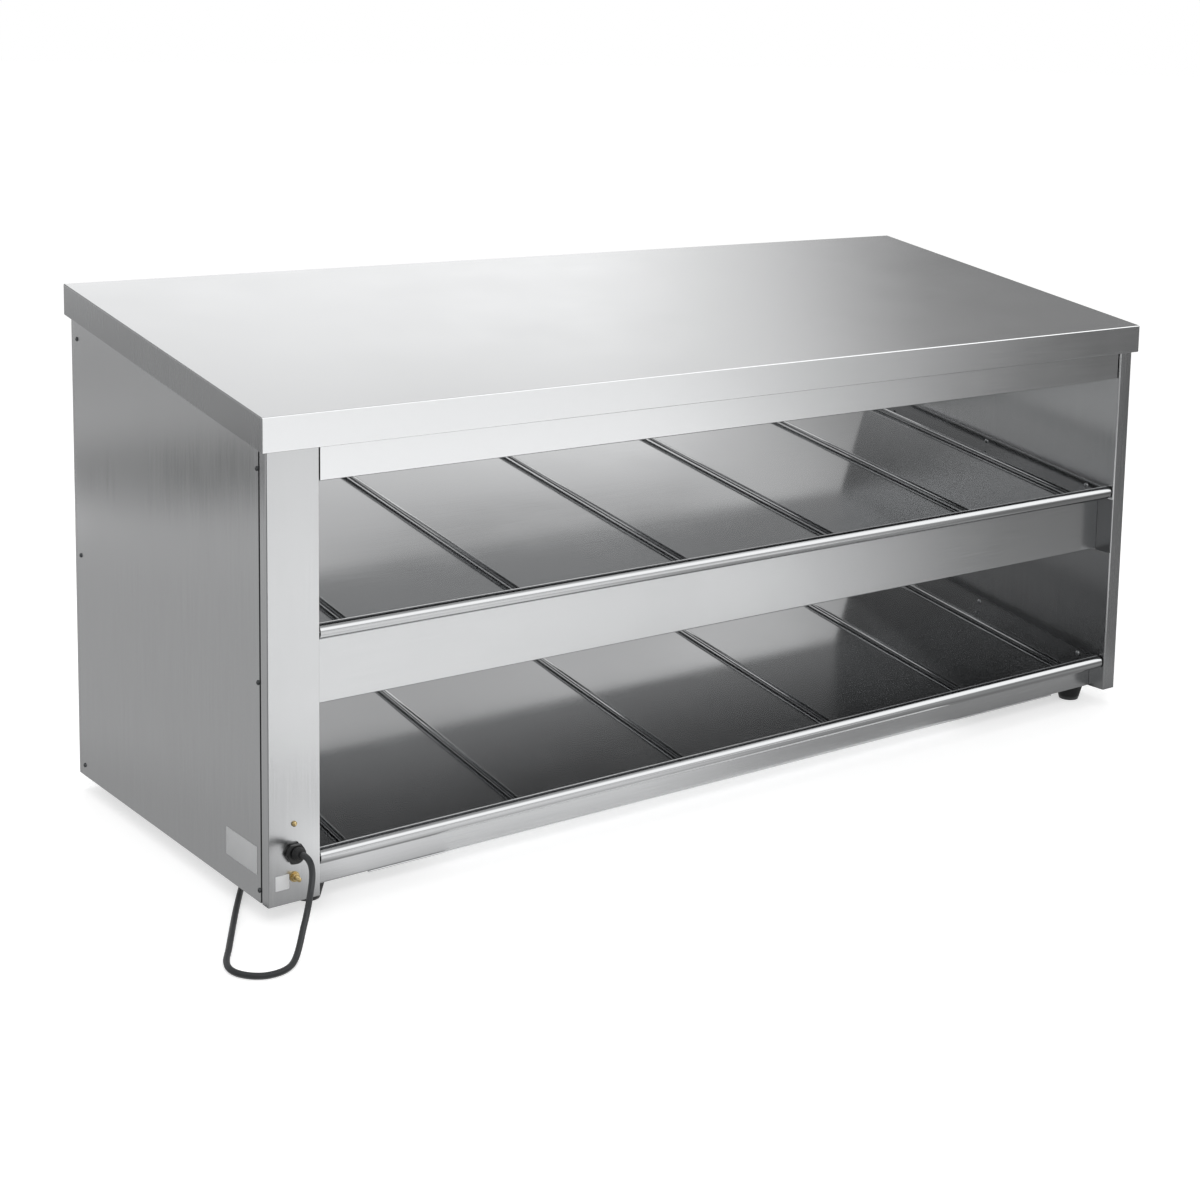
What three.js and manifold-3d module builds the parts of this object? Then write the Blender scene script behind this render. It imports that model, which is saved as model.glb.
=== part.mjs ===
// Heated display case: two sloping stainless shelves with lift-out divider rods,
// between a thick service wall on the left and a thin wall on the right, open at front and back.
// Millimetres, +Z up, X along the width, Y from the low front to the high back.
// Origin: centre of the case's bounding box, on the surface that the feet stand on.
import * as THREE from 'three';
import { mergeVertices } from 'three/addons/utils/BufferGeometryUtils.js';
import Module from 'manifold-3d';

const wasm = await Module();
wasm.setup();

// Driving sizes
const body = { width: 1385, depth: 508, frontHeight: 499, slopeDeg: 9.4 };
const sheet = 1.2;
const seatGap = 0.3;
const weldTolerance = 1e-4;
const overrun = 4;
const slope = THREE.MathUtils.degToRad(body.slopeDeg);
const slopeSheet = sheet / Math.cos(slope);

const lid = { sideOverhang: 7.5, frontOverhang: 5.7, rearOverhang: 3, edgeHeight: 38.5, returnWidth: 26 };
const stiffener = { crown: 42, flange: 16, height: 26, endClearance: 40 };
const stiffenerShares = [0.3, 0.7];
const roof = { headerHeight: 39.4, faceRecess: 2, endGap: 2.6, topFlange: 18 };
const wall = { left: 62.5, right: 24.5, frontStrip: 14.4, rearStrip: 7.3, joggle: 1.2, landing: 14 };
const basePlate = { flange: 12 };
const panelScrew = { shankDia: 3, frontInset: 20, rearInset: 18.5, bottomInset: 14, topInset: 24.5 };
const shelf = {
  upperFloor: 279.3, pitch: 252.8, upstand: 16.5, rearInset: 13, recess: 27.2, rearRecess: 15,
  upperApron: 77.5, flange: 14,
};
const bead = { dia: 18, height: 12.3, setback: 12.9, endGap: 2.6, openDeg: 40 };
const trayScrew = { shankDia: 3.4, height: 9.6, firstInset: 51 };
const trayScrewCount = 3;
const heater = { thickness: 2.4, frontInset: 34, rearInset: 26, sideInset: 42 };
const insulation = { thickness: 12 };
const bottomCover = { thickness: 2, frontSetback: 1.5, sideInset: 78, rearInset: 30 };
const rod = { dia: 6, height: 4.3, footLength: 9, footWidth: 6.4, endGap: 0.6 };
const upperRodShares = [0.0435, 0.2215, 0.4156, 0.6067, 0.8032, 0.9673];
const lowerRodShares = [0.0408, 0.22, 0.4137, 0.6071, 0.8001, 0.9611];
const foot = {
  height: 23, topDia: 40, baseDia: 28, sideInset: 38, leftInset: 76, depthInset: 52,
  screwHead: 9, screwDia: 5, screwRecess: 7,
};
const gland = {
  height: 56, hexAcross: 24, hexLength: 4.6, neckDia: 20.5, neckLength: 2.5,
  threadDia: 18, threadLength: 9, nutAcross: 24, nutLength: 4,
};
const boot = { baseDia: 15.5, tipDia: 10.5, length: 9, tiltDeg: 10, rise: 1.8 };
const earthBolt = {
  height: 29.2, dia: 5, proud: 13, headAcross: 9.6, headHeight: 3.4, nutAcross: 9.6, nutHeight: 4,
  flangeDia: 11.5, flangeHeight: 1,
};
const groundStud = { height: 88.7, headDia: 6.2, headHeight: 2.6, shankDia: 4, reach: 8 };
const headCrownShares = { height: 0.62, radius: 0.64 };
const knob = {
  height: 410, dia: 37, skirtDia: 44, skirtHeight: 4, gripHeight: 16, standoff: 0.8, pointer: 3,
  shaftDia: 6, boreDepth: 12, shaftReach: 14,
};
const thermostat = { width: 44, height: 34, depth: 24, neckDia: 10, neckLength: 3.5 };
const rocker = {
  belowKnob: 80, width: 22, tall: 30, bezelDepth: 2.2, bodyDepth: 22, wall: 2, tiltDeg: 9,
  faceWidth: 15, endRadius: 12.2, endDepth: 4.2, dip: 2, backDepth: 3, pivotInset: 1, pivotDia: 3,
  pivotReach: 1.2, cavityDepth: 8,
};
const terminal = { length: 46, width: 24, height: 20, fromFront: 96, slotWidth: 4, slotDepth: 8 };
const terminalPoles = 3;
const lead = { dia: 5, holeDia: 12, holeDrop: 38, upperDepth: 285, lowerDepth: 225 };
const cord = { dia: 7, turns: 4, radialPitch: 7.7, layerPitch: 7.6, coilMid: 77 };
const tie = { width: 14, thickness: 1, clearance: 1.1 };
const plug = {
  bodyDia: 36, faceLength: 13, shoulderDia: 25, gripLength: 24, tailDia: 11.5, tailLength: 16,
  pinDia: 4.8, pinLength: 19, pinPitch: 19, fromCoil: 62,
};

// The cord's route from the boot down to the ground and under the case, and the coil it ends in
const cordRoute = [
  [31.2, -17.95, 59.4], [31.2, -20.9, 59.9], [31.3, -27.9, 59.8], [30.2, -37.6, 57.4], [27.6, -46.1, 52.6],
  [24.2, -52.4, 45.6], [20.6, -56.4, 37.1], [17.5, -58.7, 27.8], [14.4, -60.5, 18.4], [10.3, -63.6, 10.1],
  [5.1, -68.3, 3], [-0.3, -73.9, -3.5], [-5.8, -79.7, -9.6], [-11.7, -85.7, -14.7], [-18.3, -92, -18.1],
  [-26.2, -98.6, -19.4], [-37, -104.3, -19.4], [-48, -105.9, -19.4], [-60, -103.5, -19.4],
  [-71, -95.5, -19.4], [-79.5, -82, -19.4], [-80.8, -68, -19.4], [-75.8, -52, -19.4], [-60, -26, -19.4],
  [-36, 14, -19.4], [-8, 60, -19.4], [24, 110, -19.4], [58, 160, -19.4], [94, 211, -19.4], [130, 263, -19.4],
  [168, 315, -19.4], [208, 361, -19.4], [248, 402, -19.4], [286, 438, -19.4], [322, 467.5, -19.3],
];
const coilPlace = { x: 369, y: 552, headingDeg: 30 };

// Colours and finishes
const satinSteel = new THREE.MeshStandardMaterial({ color: 0xc6c7c8, roughness: 0.38, metalness: 1 });
const polishedSteel = new THREE.MeshStandardMaterial({ color: 0xd6d7d8, roughness: 0.2, metalness: 1 });
const brass = new THREE.MeshStandardMaterial({ color: 0xc79a3e, roughness: 0.3, metalness: 1 });
const blackRubber = new THREE.MeshStandardMaterial({ color: 0x17181a, roughness: 0.85, metalness: 0 });
const blackPlastic = new THREE.MeshStandardMaterial({ color: 0x1d1e20, roughness: 0.5, metalness: 0 });
const cordRubber = new THREE.MeshStandardMaterial({ color: 0x46484b, roughness: 0.7, metalness: 0 });
const redSilicone = new THREE.MeshStandardMaterial({ color: 0x9c4a2a, roughness: 0.8, metalness: 0 });
const mineralWool = new THREE.MeshStandardMaterial({ color: 0xc8bf9c, roughness: 0.95, metalness: 0 });
const whiteCeramic = new THREE.MeshStandardMaterial({ color: 0xe4e0d6, roughness: 0.5, metalness: 0 });

const rockerHeight = knob.height - rocker.belowKnob;

// Lines of the side view: each gives a height above the walls' bottom edge at depth y
const slopeTan = Math.tan(slope);
const underLid = (y) => body.frontHeight + y * slopeTan;
const underRoof = (y) => underLid(y) - roof.headerHeight;
const lowerFloor = shelf.upperFloor - shelf.pitch;
const floorLine = (frontFloor, y) => frontFloor + y * slopeTan;
const apronBottom = (y) => shelf.upperFloor - shelf.upperApron + y * slopeTan;
const leadHole = {
  upper: floorLine(shelf.upperFloor, lead.upperDepth) - lead.holeDrop,
  lower: floorLine(lowerFloor, lead.lowerDepth) - lead.holeDrop,
};

// Clear width between the two walls
const bay = { left: wall.left + seatGap, right: body.width - wall.right - seatGap };
const bayWidth = bay.right - bay.left;

// Geometry helpers
function shapeOf(points) {
  return new THREE.Shape(points.map(([a, b]) => new THREE.Vector2(a, b)));
}

function extruded(points, depth) {
  return new THREE.ExtrudeGeometry(shapeOf(points), { depth, bevelEnabled: false });
}

// An outline in (y, z), run along X
function alongX(points, from, to) {
  const turn = new THREE.Matrix4().set(0, 0, 1, from, 1, 0, 0, 0, 0, 1, 0, 0, 0, 0, 0, 1);
  return extruded(points, to - from).applyMatrix4(turn);
}

// An outline in (x, y), run up Z
function alongZ(points, from, to) {
  return extruded(points, to - from).translate(0, 0, from);
}

function block(x, y, z) {
  const box = new THREE.BoxGeometry(x[1] - x[0], y[1] - y[0], z[1] - z[0]);
  return box.translate((x[0] + x[1]) / 2, (y[0] + y[1]) / 2, (z[0] + z[1]) / 2);
}

// A turned piece: profile of (radius, distance) pairs around +Z
function turned(profile, sides) {
  const points = profile.map(([r, z]) => new THREE.Vector2(r, z));
  return new THREE.LatheGeometry(points, sides).rotateX(Math.PI / 2);
}

// Points a piece made around +Z the other way: towards the front, the back or a side
const facing = {
  up: (geometry) => geometry,
  down: (geometry) => geometry.rotateX(Math.PI),
  front: (geometry) => geometry.rotateX(Math.PI / 2),
  back: (geometry) => geometry.rotateX(-Math.PI / 2),
  left: (geometry) => geometry.rotateY(-Math.PI / 2),
  right: (geometry) => geometry.rotateY(Math.PI / 2),
};

// The closed outline of a folded sheet: its outer path, with the metal on the path's left
function folded(path, thickness) {
  const inner = path.map((point, i) => {
    const normals = [];
    for (const [a, b] of [[path[i - 1], point], [point, path[i + 1]]]) {
      if (!a || !b) continue;
      const length = Math.hypot(b[0] - a[0], b[1] - a[1]);
      normals.push([-(b[1] - a[1]) / length, (b[0] - a[0]) / length]);
    }
    const [n, m] = [normals[0], normals[normals.length - 1]];
    const reach = thickness / (1 + n[0] * m[0] + n[1] * m[1]);
    return [point[0] + (n[0] + m[0]) * reach, point[1] + (n[1] + m[1]) * reach];
  });
  return [...path, ...inner.reverse()];
}

function solid(geometry) {
  const bare = geometry.index ? geometry : geometry.clone();
  for (const name of Object.keys(bare.attributes)) {
    if (name !== 'position') bare.deleteAttribute(name);
  }
  const merged = mergeVertices(bare, weldTolerance);
  return new wasm.Manifold(new wasm.Mesh({
    numProp: 3,
    vertProperties: new Float32Array(merged.attributes.position.array),
    triVerts: new Uint32Array(merged.index.array),
  }));
}

function geometryOf(manifold) {
  const mesh = manifold.getMesh();
  const geometry = new THREE.BufferGeometry();
  geometry.setAttribute('position', new THREE.BufferAttribute(new Float32Array(mesh.vertProperties), 3));
  geometry.setIndex(new THREE.BufferAttribute(new Uint32Array(mesh.triVerts), 1));
  const flat = geometry.toNonIndexed();
  flat.computeVertexNormals();
  return flat;
}

function joined(geometries) {
  return geometries.map(solid).reduce((whole, next) => whole.add(next));
}

function cut(whole, geometries) {
  return geometries.map(solid).reduce((left, tool) => left.subtract(tool), whole);
}

// A round cutter through a wall, centred at a point
function drill(at, dia, length, towards) {
  return facing[towards](new THREE.CylinderGeometry(dia / 2, dia / 2, length, 16).rotateX(Math.PI / 2))
    .translate(...at);
}

const caseGroup = new THREE.Group();

function place(name, geometry, material, parent = caseGroup) {
  const mesh = new THREE.Mesh(geometry, material);
  mesh.name = name;
  parent.add(mesh);
  return mesh;
}

// A pan-head screw around +Z: the head's underside is at zero and the shank points down
function panScrew(size) {
  const { headDia, headHeight, shankDia, reach } = size;
  const crown = headHeight * headCrownShares.height;
  const top = (headDia / 2) * headCrownShares.radius;
  return turned([[0, -reach], [shankDia / 2, -reach], [shankDia / 2, 0], [headDia / 2, 0],
    [headDia / 2, crown], [top, headHeight], [0, headHeight]], 10);
}

// Folded lid: a top skin, four edges and a narrow return all round underneath
function topCover() {
  const x = [-lid.sideOverhang, body.width + lid.sideOverhang];
  const y = [-lid.frontOverhang, body.depth + lid.rearOverhang];
  const band = (from, to, low, high) => [
    [from, underLid(from) + low], [to, underLid(to) + low],
    [to, underLid(to) + high], [from, underLid(from) + high],
  ];
  const outer = solid(alongX(band(y[0], y[1], 0, lid.edgeHeight), x[0], x[1]));
  const hollow = alongX(
    band(y[0] + sheet, y[1] - sheet, slopeSheet, lid.edgeHeight - slopeSheet), x[0] + sheet, x[1] - sheet);
  const mouth = alongX(
    band(y[0] + lid.returnWidth, y[1] - lid.returnWidth, -overrun, slopeSheet * 2),
    x[0] + lid.returnWidth, x[1] - lid.returnWidth);
  place('top_cover', geometryOf(cut(outer, [hollow, mouth])), satinSteel);
}

// Two hat sections under the top skin, parallel to the front edge
function topStiffeners() {
  const half = stiffener.crown / 2;
  const web = [
    [half + stiffener.flange, 0], [half, 0], [half, -stiffener.height],
    [-half, -stiffener.height], [-half, 0], [-half - stiffener.flange, 0],
  ];
  const x = [stiffener.endClearance, body.width - stiffener.endClearance];
  ['front', 'rear'].forEach((name, i) => {
    const y = body.depth * stiffenerShares[i];
    const hat = place(`top_stiffener_${name}`, alongX(folded(web, sheet), x[0], x[1]), satinSteel);
    hat.rotation.x = slope;
    hat.position.set(0, y, underLid(y) + lid.edgeHeight - slopeSheet - seatGap / Math.cos(slope));
  });
}

// Roof liner: one folded sheet with the front header, the ceiling and the rear header
function roofLiner() {
  const y = [roof.faceRecess, body.depth - roof.faceRecess];
  const path = [
    [y[0] + roof.topFlange, underLid(y[0] + roof.topFlange) - seatGap], [y[0], underLid(y[0]) - seatGap],
    [y[0], underRoof(y[0])], [y[1], underRoof(y[1])],
    [y[1], underLid(y[1]) - seatGap], [y[1] - roof.topFlange, underLid(y[1] - roof.topFlange) - seatGap],
  ];
  const x = [wall.left + roof.endGap, body.width - wall.right - roof.endGap];
  place('roof_liner', alongX(folded(path, sheet), x[0], x[1]), satinSteel);
}

// Everything above the walls' top line, to trim them with
function aboveWalls() {
  const y = [-overrun, body.depth + overrun];
  const high = underLid(y[1]) + overrun;
  return [[y[0], underLid(y[0]) - seatGap], [y[1], underLid(y[1]) - seatGap], [y[1], high], [y[0], high]];
}

const wallTop = underLid(body.depth) + overrun / 2;
const screwRows = (line) => {
  const high = line - panelScrew.topInset;
  return [panelScrew.bottomInset, (panelScrew.bottomInset + high) / 2, high];
};
const panelScrewPlaces = [panelScrew.frontInset, body.depth - panelScrew.rearInset]
  .flatMap((y) => screwRows(underLid(y)).map((z) => [y, z]));
const panelFront = wall.frontStrip + wall.joggle + seatGap;
const panelRear = body.depth - wall.rearStrip - wall.joggle - seatGap;

// Maps a left-wall x to the right wall, which mirrors it
const mirrored = (x) => body.width - x;

// Wall shell: inner side, front and rear faces, and joggled flanges that the outer panel lands on
function wallShell(side, thickness, holes) {
  const land = sheet + seatGap;
  const path = [
    [land, wall.frontStrip + wall.joggle + wall.landing], [land, wall.frontStrip + wall.joggle],
    [0, wall.frontStrip], [0, 0], [thickness, 0], [thickness, body.depth], [0, body.depth],
    [0, body.depth - wall.rearStrip], [land, body.depth - wall.rearStrip - wall.joggle],
    [land, body.depth - wall.rearStrip - wall.joggle - wall.landing],
  ];
  const outline = folded(path, sheet).map(([x, y]) => [side === 'left' ? x : mirrored(x), y]);
  const cutters = [alongX(aboveWalls(), -overrun, body.width + overrun), ...trayScrewHoles(side, thickness)];
  for (const [y, z] of panelScrewPlaces) cutters.push(panelHole(side, y, z));
  const shell = cut(solid(alongZ(outline, 0, wallTop)), [...cutters, ...holes]);
  place(`${side}_wall_shell`, geometryOf(shell), satinSteel);
}

function panelHole(side, y, z) {
  const x = side === 'left' ? 0 : body.width;
  return drill([x, y, z], panelScrew.shankDia + seatGap * 2, overrun * 2, 'right');
}

// Flat outer panel of a wall, between the shell's front and rear strips
function outerPanel(side) {
  const x = side === 'left' ? [0, sheet] : [mirrored(sheet), mirrored(0)];
  const raw = solid(block(x, [panelFront, panelRear], [0, wallTop]));
  const cutters = [alongX(aboveWalls(), -overrun, body.width + overrun)];
  for (const [y, z] of panelScrewPlaces) cutters.push(panelHole(side, y, z));
  place(`${side}_outer_panel`, geometryOf(cut(raw, cutters)), satinSteel);
}

// Pan that closes a wall's bottom, its flanges standing inside the shell
function wallBase(side, thickness) {
  const inset = sheet + seatGap;
  const outerInset = sheet * 2 + seatGap * 2;
  const span = [outerInset, thickness - inset];
  const x = side === 'left' ? span : span.map(mirrored).reverse();
  const y = [inset, body.depth - inset];
  const tray = cut(solid(block(x, y, [0, basePlate.flange])), [block(
    [x[0] + sheet, x[1] - sheet], [y[0] + sheet, y[1] - sheet], [sheet, basePlate.flange + overrun])]);
  place(`${side}_wall_base`, geometryOf(tray), satinSteel);
}

// Shelf trays are drawn square to the slope: u runs back along the shelf and w stands off its floor
const beadCentre = { u: bead.setback, w: bead.height };
const lipFace = beadCentre.u + bead.dia / 2;
const trayRear = (body.depth - shelf.rearInset) / Math.cos(slope);

function beadArc(steps) {
  const end = THREE.MathUtils.degToRad(360 - bead.openDeg);
  const radius = bead.dia / 2;
  const points = [];
  for (let i = 0; i <= steps; i += 1) {
    const angle = (end * i) / steps;
    points.push([beadCentre.u + radius * Math.cos(angle), beadCentre.w + radius * Math.sin(angle)]);
  }
  return points;
}

const trayScrewPlaces = Array.from({ length: trayScrewCount }, (_, i) => {
  const last = trayRear - trayScrew.firstInset;
  return trayScrew.firstInset + (i * (last - trayScrew.firstInset)) / (trayScrewCount - 1);
});

function shelfGroup(frontFloor) {
  const group = new THREE.Group();
  group.position.z = frontFloor;
  group.rotation.x = slope;
  caseGroup.add(group);
  return group;
}

// Tray: floor, rear upstand, side upstands, and a front lip rolled forward into a round bead
function shelfTray(level, group) {
  const profile = folded([[trayRear, shelf.upstand], [trayRear, 0], [lipFace, 0], ...beadArc(18)], sheet);
  const ends = [bay.left + bead.endGap, bay.right - bead.endGap];
  const roll = solid(alongX(profile, ends[0], ends[1]));
  const floor = block([bay.left, bay.right], [lipFace, trayRear], [-sheet, 0]);
  const sides = [[bay.left, bay.left + sheet], [bay.right - sheet, bay.right]]
    .map((x) => block(x, [lipFace, trayRear], [-sheet, shelf.upstand]));
  const holes = trayScrewPlaces.map((u) => drill(
    [body.width / 2, u, trayScrew.height], trayScrew.shankDia + seatGap * 2, body.width, 'right'));
  const tray = cut(joined([floor, ...sides]).add(roll), holes);
  place(`${level}_shelf_tray`, geometryOf(tray), satinSteel, group);
}

// Holes in the walls' inner sides for the tray screws
function trayScrewHoles(side, thickness) {
  const x = side === 'left' ? thickness : mirrored(thickness);
  return [shelf.upperFloor, lowerFloor].flatMap((frontFloor) => trayScrewPlaces.map((u) => drill(
    [x, u, trayScrew.height], trayScrew.shankDia + seatGap * 2, overrun, 'right')
    .rotateX(slope).translate(0, 0, frontFloor)));
}

// Silicone heating mat bonded under the tray, with a mineral board below it
function heatingMat(level, group) {
  const x = [bay.left + heater.sideInset, bay.right - heater.sideInset];
  const u = [lipFace + heater.frontInset, trayRear - heater.rearInset];
  const top = -sheet - seatGap;
  place(`${level}_heating_mat`, block(x, u, [top - heater.thickness, top]), redSilicone, group);
  const under = top - heater.thickness - seatGap;
  place(`${level}_insulation_board`, block(x, u, [under - insulation.thickness, under]), mineralWool, group);
}

// Lane dividers: a polished rod with a small glide foot at each end, inside the tray's lips
const innerWidth = body.width - wall.left - wall.right;
function dividerRods(level, shares, group) {
  const u = [lipFace + rod.endGap, trayRear - sheet - rod.endGap];
  shares.forEach((share, i) => {
    const x = wall.left + innerWidth * share;
    const bar = facing.back(new THREE.CylinderGeometry(rod.dia / 2, rod.dia / 2, u[1] - u[0], 10)
      .rotateX(Math.PI / 2)).translate(x, (u[0] + u[1]) / 2, rod.height);
    const feet = [[u[0], u[0] + rod.footLength], [u[1] - rod.footLength, u[1]]].map((span) => block(
      [x - rod.footWidth / 2, x + rod.footWidth / 2], span, [seatGap, rod.height]));
    place(`${level}_divider_rod_${i + 1}`, geometryOf(joined([bar, ...feet])), polishedSteel, group);
  });
}

// A folded front apron under a tray: a face, a top flange under the floor and a bottom flange
function frontApron(level, bottom) {
  const frontFloor = level === 'upper' ? shelf.upperFloor : lowerFloor;
  const seat = (y) => floorLine(frontFloor, y) - slopeSheet - seatGap;
  const y = shelf.recess;
  const path = [
    [y + shelf.flange, seat(y + shelf.flange)], [y, seat(y)], [y, bottom(y)],
    [y + shelf.flange, bottom(y + shelf.flange)],
  ];
  place(`${level}_front_apron`, alongX(folded(path, sheet), bay.left, bay.right), satinSteel);
}

function rearApron(level, bottom) {
  const frontFloor = level === 'upper' ? shelf.upperFloor : lowerFloor;
  const seat = (y) => floorLine(frontFloor, y) - slopeSheet - seatGap;
  const y = body.depth - shelf.rearRecess;
  const path = [
    [y - shelf.flange, bottom(y - shelf.flange)], [y, bottom(y)], [y, seat(y)],
    [y - shelf.flange, seat(y - shelf.flange)],
  ];
  place(`${level}_rear_apron`, alongX(folded(path, sheet), bay.left, bay.right), satinSteel);
}

// Flat sheets that close the two shelf boxes from below, lying on the aprons' bottom flanges
function closingSheets() {
  const y = [shelf.recess + sheet + seatGap, body.depth - shelf.rearRecess - sheet - seatGap];
  const lift = slopeSheet + seatGap;
  const under = (depth) => apronBottom(depth) + lift;
  const section = [
    [y[0], under(y[0])], [y[1], under(y[1])],
    [y[1], under(y[1]) + slopeSheet], [y[0], under(y[0]) + slopeSheet],
  ];
  place('upper_closing_sheet', alongX(section, bay.left, bay.right), satinSteel);
  const base = sheet + seatGap;
  const holes = footPlaces().filter(({ x }) => x > bay.left && x < bay.right)
    .map(({ x, y: depth }) => drill([x, depth, base], foot.screwDia + seatGap * 2, overrun * 2, 'up'));
  const pan = cut(solid(block([bay.left, bay.right], y, [base, base + sheet])), holes);
  place('bottom_pan', geometryOf(pan), satinSteel);
}

// Thin cover under the bottom pan, set in from the feet
function bottomCoverSheet() {
  const x = [bay.left + bottomCover.sideInset, bay.right - bottomCover.sideInset];
  const y = [shelf.recess + bottomCover.frontSetback, body.depth - shelf.rearRecess - bottomCover.rearInset];
  place('bottom_cover', block(x, y, [-seatGap - bottomCover.thickness, -seatGap]), satinSteel);
}

// Rubber feet, each bored and counterbored for the screw through its middle
function footPlaces() {
  const x = [foot.leftInset, body.width - foot.sideInset];
  const y = [foot.depthInset, body.depth - foot.depthInset];
  return [['front', 'left', x[0], y[0]], ['front', 'right', x[1], y[0]],
    ['rear', 'left', x[0], y[1]], ['rear', 'right', x[1], y[1]]]
    .map(([end, side, px, py]) => ({ name: `${end}_${side}_foot`, x: px, y: py }));
}

function feet() {
  const top = -seatGap;
  for (const { name, x, y } of footPlaces()) {
    const cone = solid(turned([[0, -foot.height], [foot.baseDia / 2, -foot.height],
      [foot.topDia / 2, top], [0, top]], 20));
    const bore = [
      drill([0, 0, 0], foot.screwDia + seatGap * 2, foot.height * 3, 'up'),
      drill([0, 0, -foot.height], foot.screwHead + seatGap * 4, foot.screwRecess * 2, 'up'),
    ];
    place(name, geometryOf(cut(cone, bore)), blackRubber).position.set(x, y, 0);
  }
}

// A hexagonal prism around +Z, sized across its corners, from zero up
function hexagon(across, height) {
  return new THREE.CylinderGeometry(across / 2, across / 2, height, 6).rotateX(Math.PI / 2)
    .translate(0, 0, height / 2);
}

// Cable gland in the front face of the left wall, with its locknut inside
const serviceX = wall.left / 2;
const glandFace = gland.neckLength + gland.hexLength;

function cableGland() {
  const neckEnd = gland.neckLength + seatGap;
  const stem = turned([[0, -gland.threadLength], [gland.threadDia / 2, -gland.threadLength],
    [gland.threadDia / 2, seatGap], [gland.neckDia / 2, seatGap], [gland.neckDia / 2, neckEnd], [0, neckEnd]], 20);
  const hex = hexagon(gland.hexAcross, gland.hexLength).translate(0, 0, gland.neckLength);
  const outside = geometryOf(joined([stem, hex]));
  place('cable_gland', facing.front(outside).translate(serviceX, 0, gland.height), blackPlastic);
  const ring = cut(solid(hexagon(gland.nutAcross, gland.nutLength)), [
    drill([0, 0, 0], gland.threadDia + seatGap * 2, gland.nutLength * 4, 'up')]);
  const nut = geometryOf(ring.translate([0, 0, -sheet - seatGap - gland.nutLength]));
  place('gland_locknut', facing.front(nut).translate(serviceX, 0, gland.height), blackPlastic);
}

// Rubber boot on the gland's nose, leaning up a little, that the cord leaves
const bootTilt = THREE.MathUtils.degToRad(boot.tiltDeg);
const bootBase = glandFace + seatGap + (boot.baseDia / 2) * Math.sin(bootTilt);

function glandBoot() {
  const cone = turned([[0, 0], [boot.baseDia / 2, 0], [boot.tipDia / 2, boot.length], [0, boot.length]], 16);
  const piece = facing.front(cone).rotateX(-bootTilt);
  place('gland_boot', piece.translate(serviceX, -bootBase, gland.height + boot.rise), blackRubber);
}

// Brass bonding bolt with a flanged nut outside, and a brass ground screw above the gland
function earthBoltSet() {
  const inside = -sheet - seatGap;
  const radius = earthBolt.dia / 2;
  const shank = turned([[0, inside], [radius, inside], [radius, earthBolt.proud - radius / 2],
    [radius / 2, earthBolt.proud], [0, earthBolt.proud]], 12);
  const head = hexagon(earthBolt.headAcross, earthBolt.headHeight)
    .translate(0, 0, inside - earthBolt.headHeight);
  const bolt = geometryOf(joined([shank, head]));
  place('bonding_bolt', facing.front(bolt).translate(serviceX, 0, earthBolt.height), brass);
  const { flangeDia, flangeHeight } = earthBolt;
  const flange = drill([0, 0, seatGap + flangeHeight / 2], flangeDia, flangeHeight, 'up');
  const nut = hexagon(earthBolt.nutAcross, earthBolt.nutHeight).translate(0, 0, seatGap + flangeHeight);
  const bore = drill([0, 0, 0], earthBolt.dia + seatGap * 2, earthBolt.proud * 2, 'up');
  const stack = geometryOf(cut(joined([flange, nut]), [bore]));
  place('bonding_nut', facing.front(stack).translate(serviceX, 0, earthBolt.height), brass);
  const stud = facing.front(panScrew(groundStud)).translate(serviceX, -seatGap, groundStud.height);
  place('ground_screw', stud, brass);
}

// Thermostat behind the left wall's rear face, its shaft through the face and its knob outside
const rearFace = body.depth;

function thermostatSet() {
  const behind = rearFace - sheet - seatGap;
  const half = { x: thermostat.width / 2, z: thermostat.height / 2 };
  const housing = block([serviceX - half.x, serviceX + half.x], [behind - thermostat.depth, behind],
    [knob.height - half.z, knob.height + half.z]);
  const at = [serviceX, behind, knob.height];
  const neck = drill(at, thermostat.neckDia, thermostat.neckLength * 2, 'back');
  const bore = drill(at, knob.shaftDia + seatGap * 2, knob.shaftReach * 2, 'back');
  place('thermostat_body', geometryOf(cut(joined([housing, neck]), [bore])), whiteCeramic);
  const start = behind - knob.shaftReach + seatGap;
  const foreface = rearFace + knob.standoff;
  const end = foreface + knob.boreDepth - seatGap;
  const shaft = drill([serviceX, (start + end) / 2, knob.height], knob.shaftDia, end - start, 'back');
  place('thermostat_shaft', shaft, polishedSteel);
  const neckWell = thermostat.neckDia / 2 + seatGap * 3;
  const top = knob.skirtHeight + knob.gripHeight;
  const profile = [[0, knob.boreDepth], [neckWell, knob.boreDepth], [neckWell, 0], [knob.skirtDia / 2, 0],
    [knob.skirtDia / 2, knob.skirtHeight], [knob.dia / 2, knob.skirtHeight],
    [knob.dia / 2 - seatGap * 4, top], [0, top]];
  const cap = solid(turned(profile, 24));
  const collarSpan = [knob.skirtHeight, knob.boreDepth + seatGap];
  const collarRadii = [knob.shaftDia / 2 + seatGap, neckWell + overrun / 4];
  const collar = solid(turned([[collarRadii[0], collarSpan[0]], [collarRadii[1], collarSpan[0]],
    [collarRadii[1], collarSpan[1]], [collarRadii[0], collarSpan[1]], [collarRadii[0], collarSpan[0]]], 24));
  const reach = knob.dia / 2 - knob.pointer;
  const pointer = solid(block([-knob.pointer / 2, knob.pointer / 2], [0, reach],
    [top - knob.pointer, top + knob.pointer / 2]));
  const geometry = geometryOf(cap.add(collar).add(pointer));
  const piece = facing.back(geometry).rotateY(Math.PI);
  place('thermostat_knob', piece.translate(serviceX, foreface, knob.height), blackPlastic);
}

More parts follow.
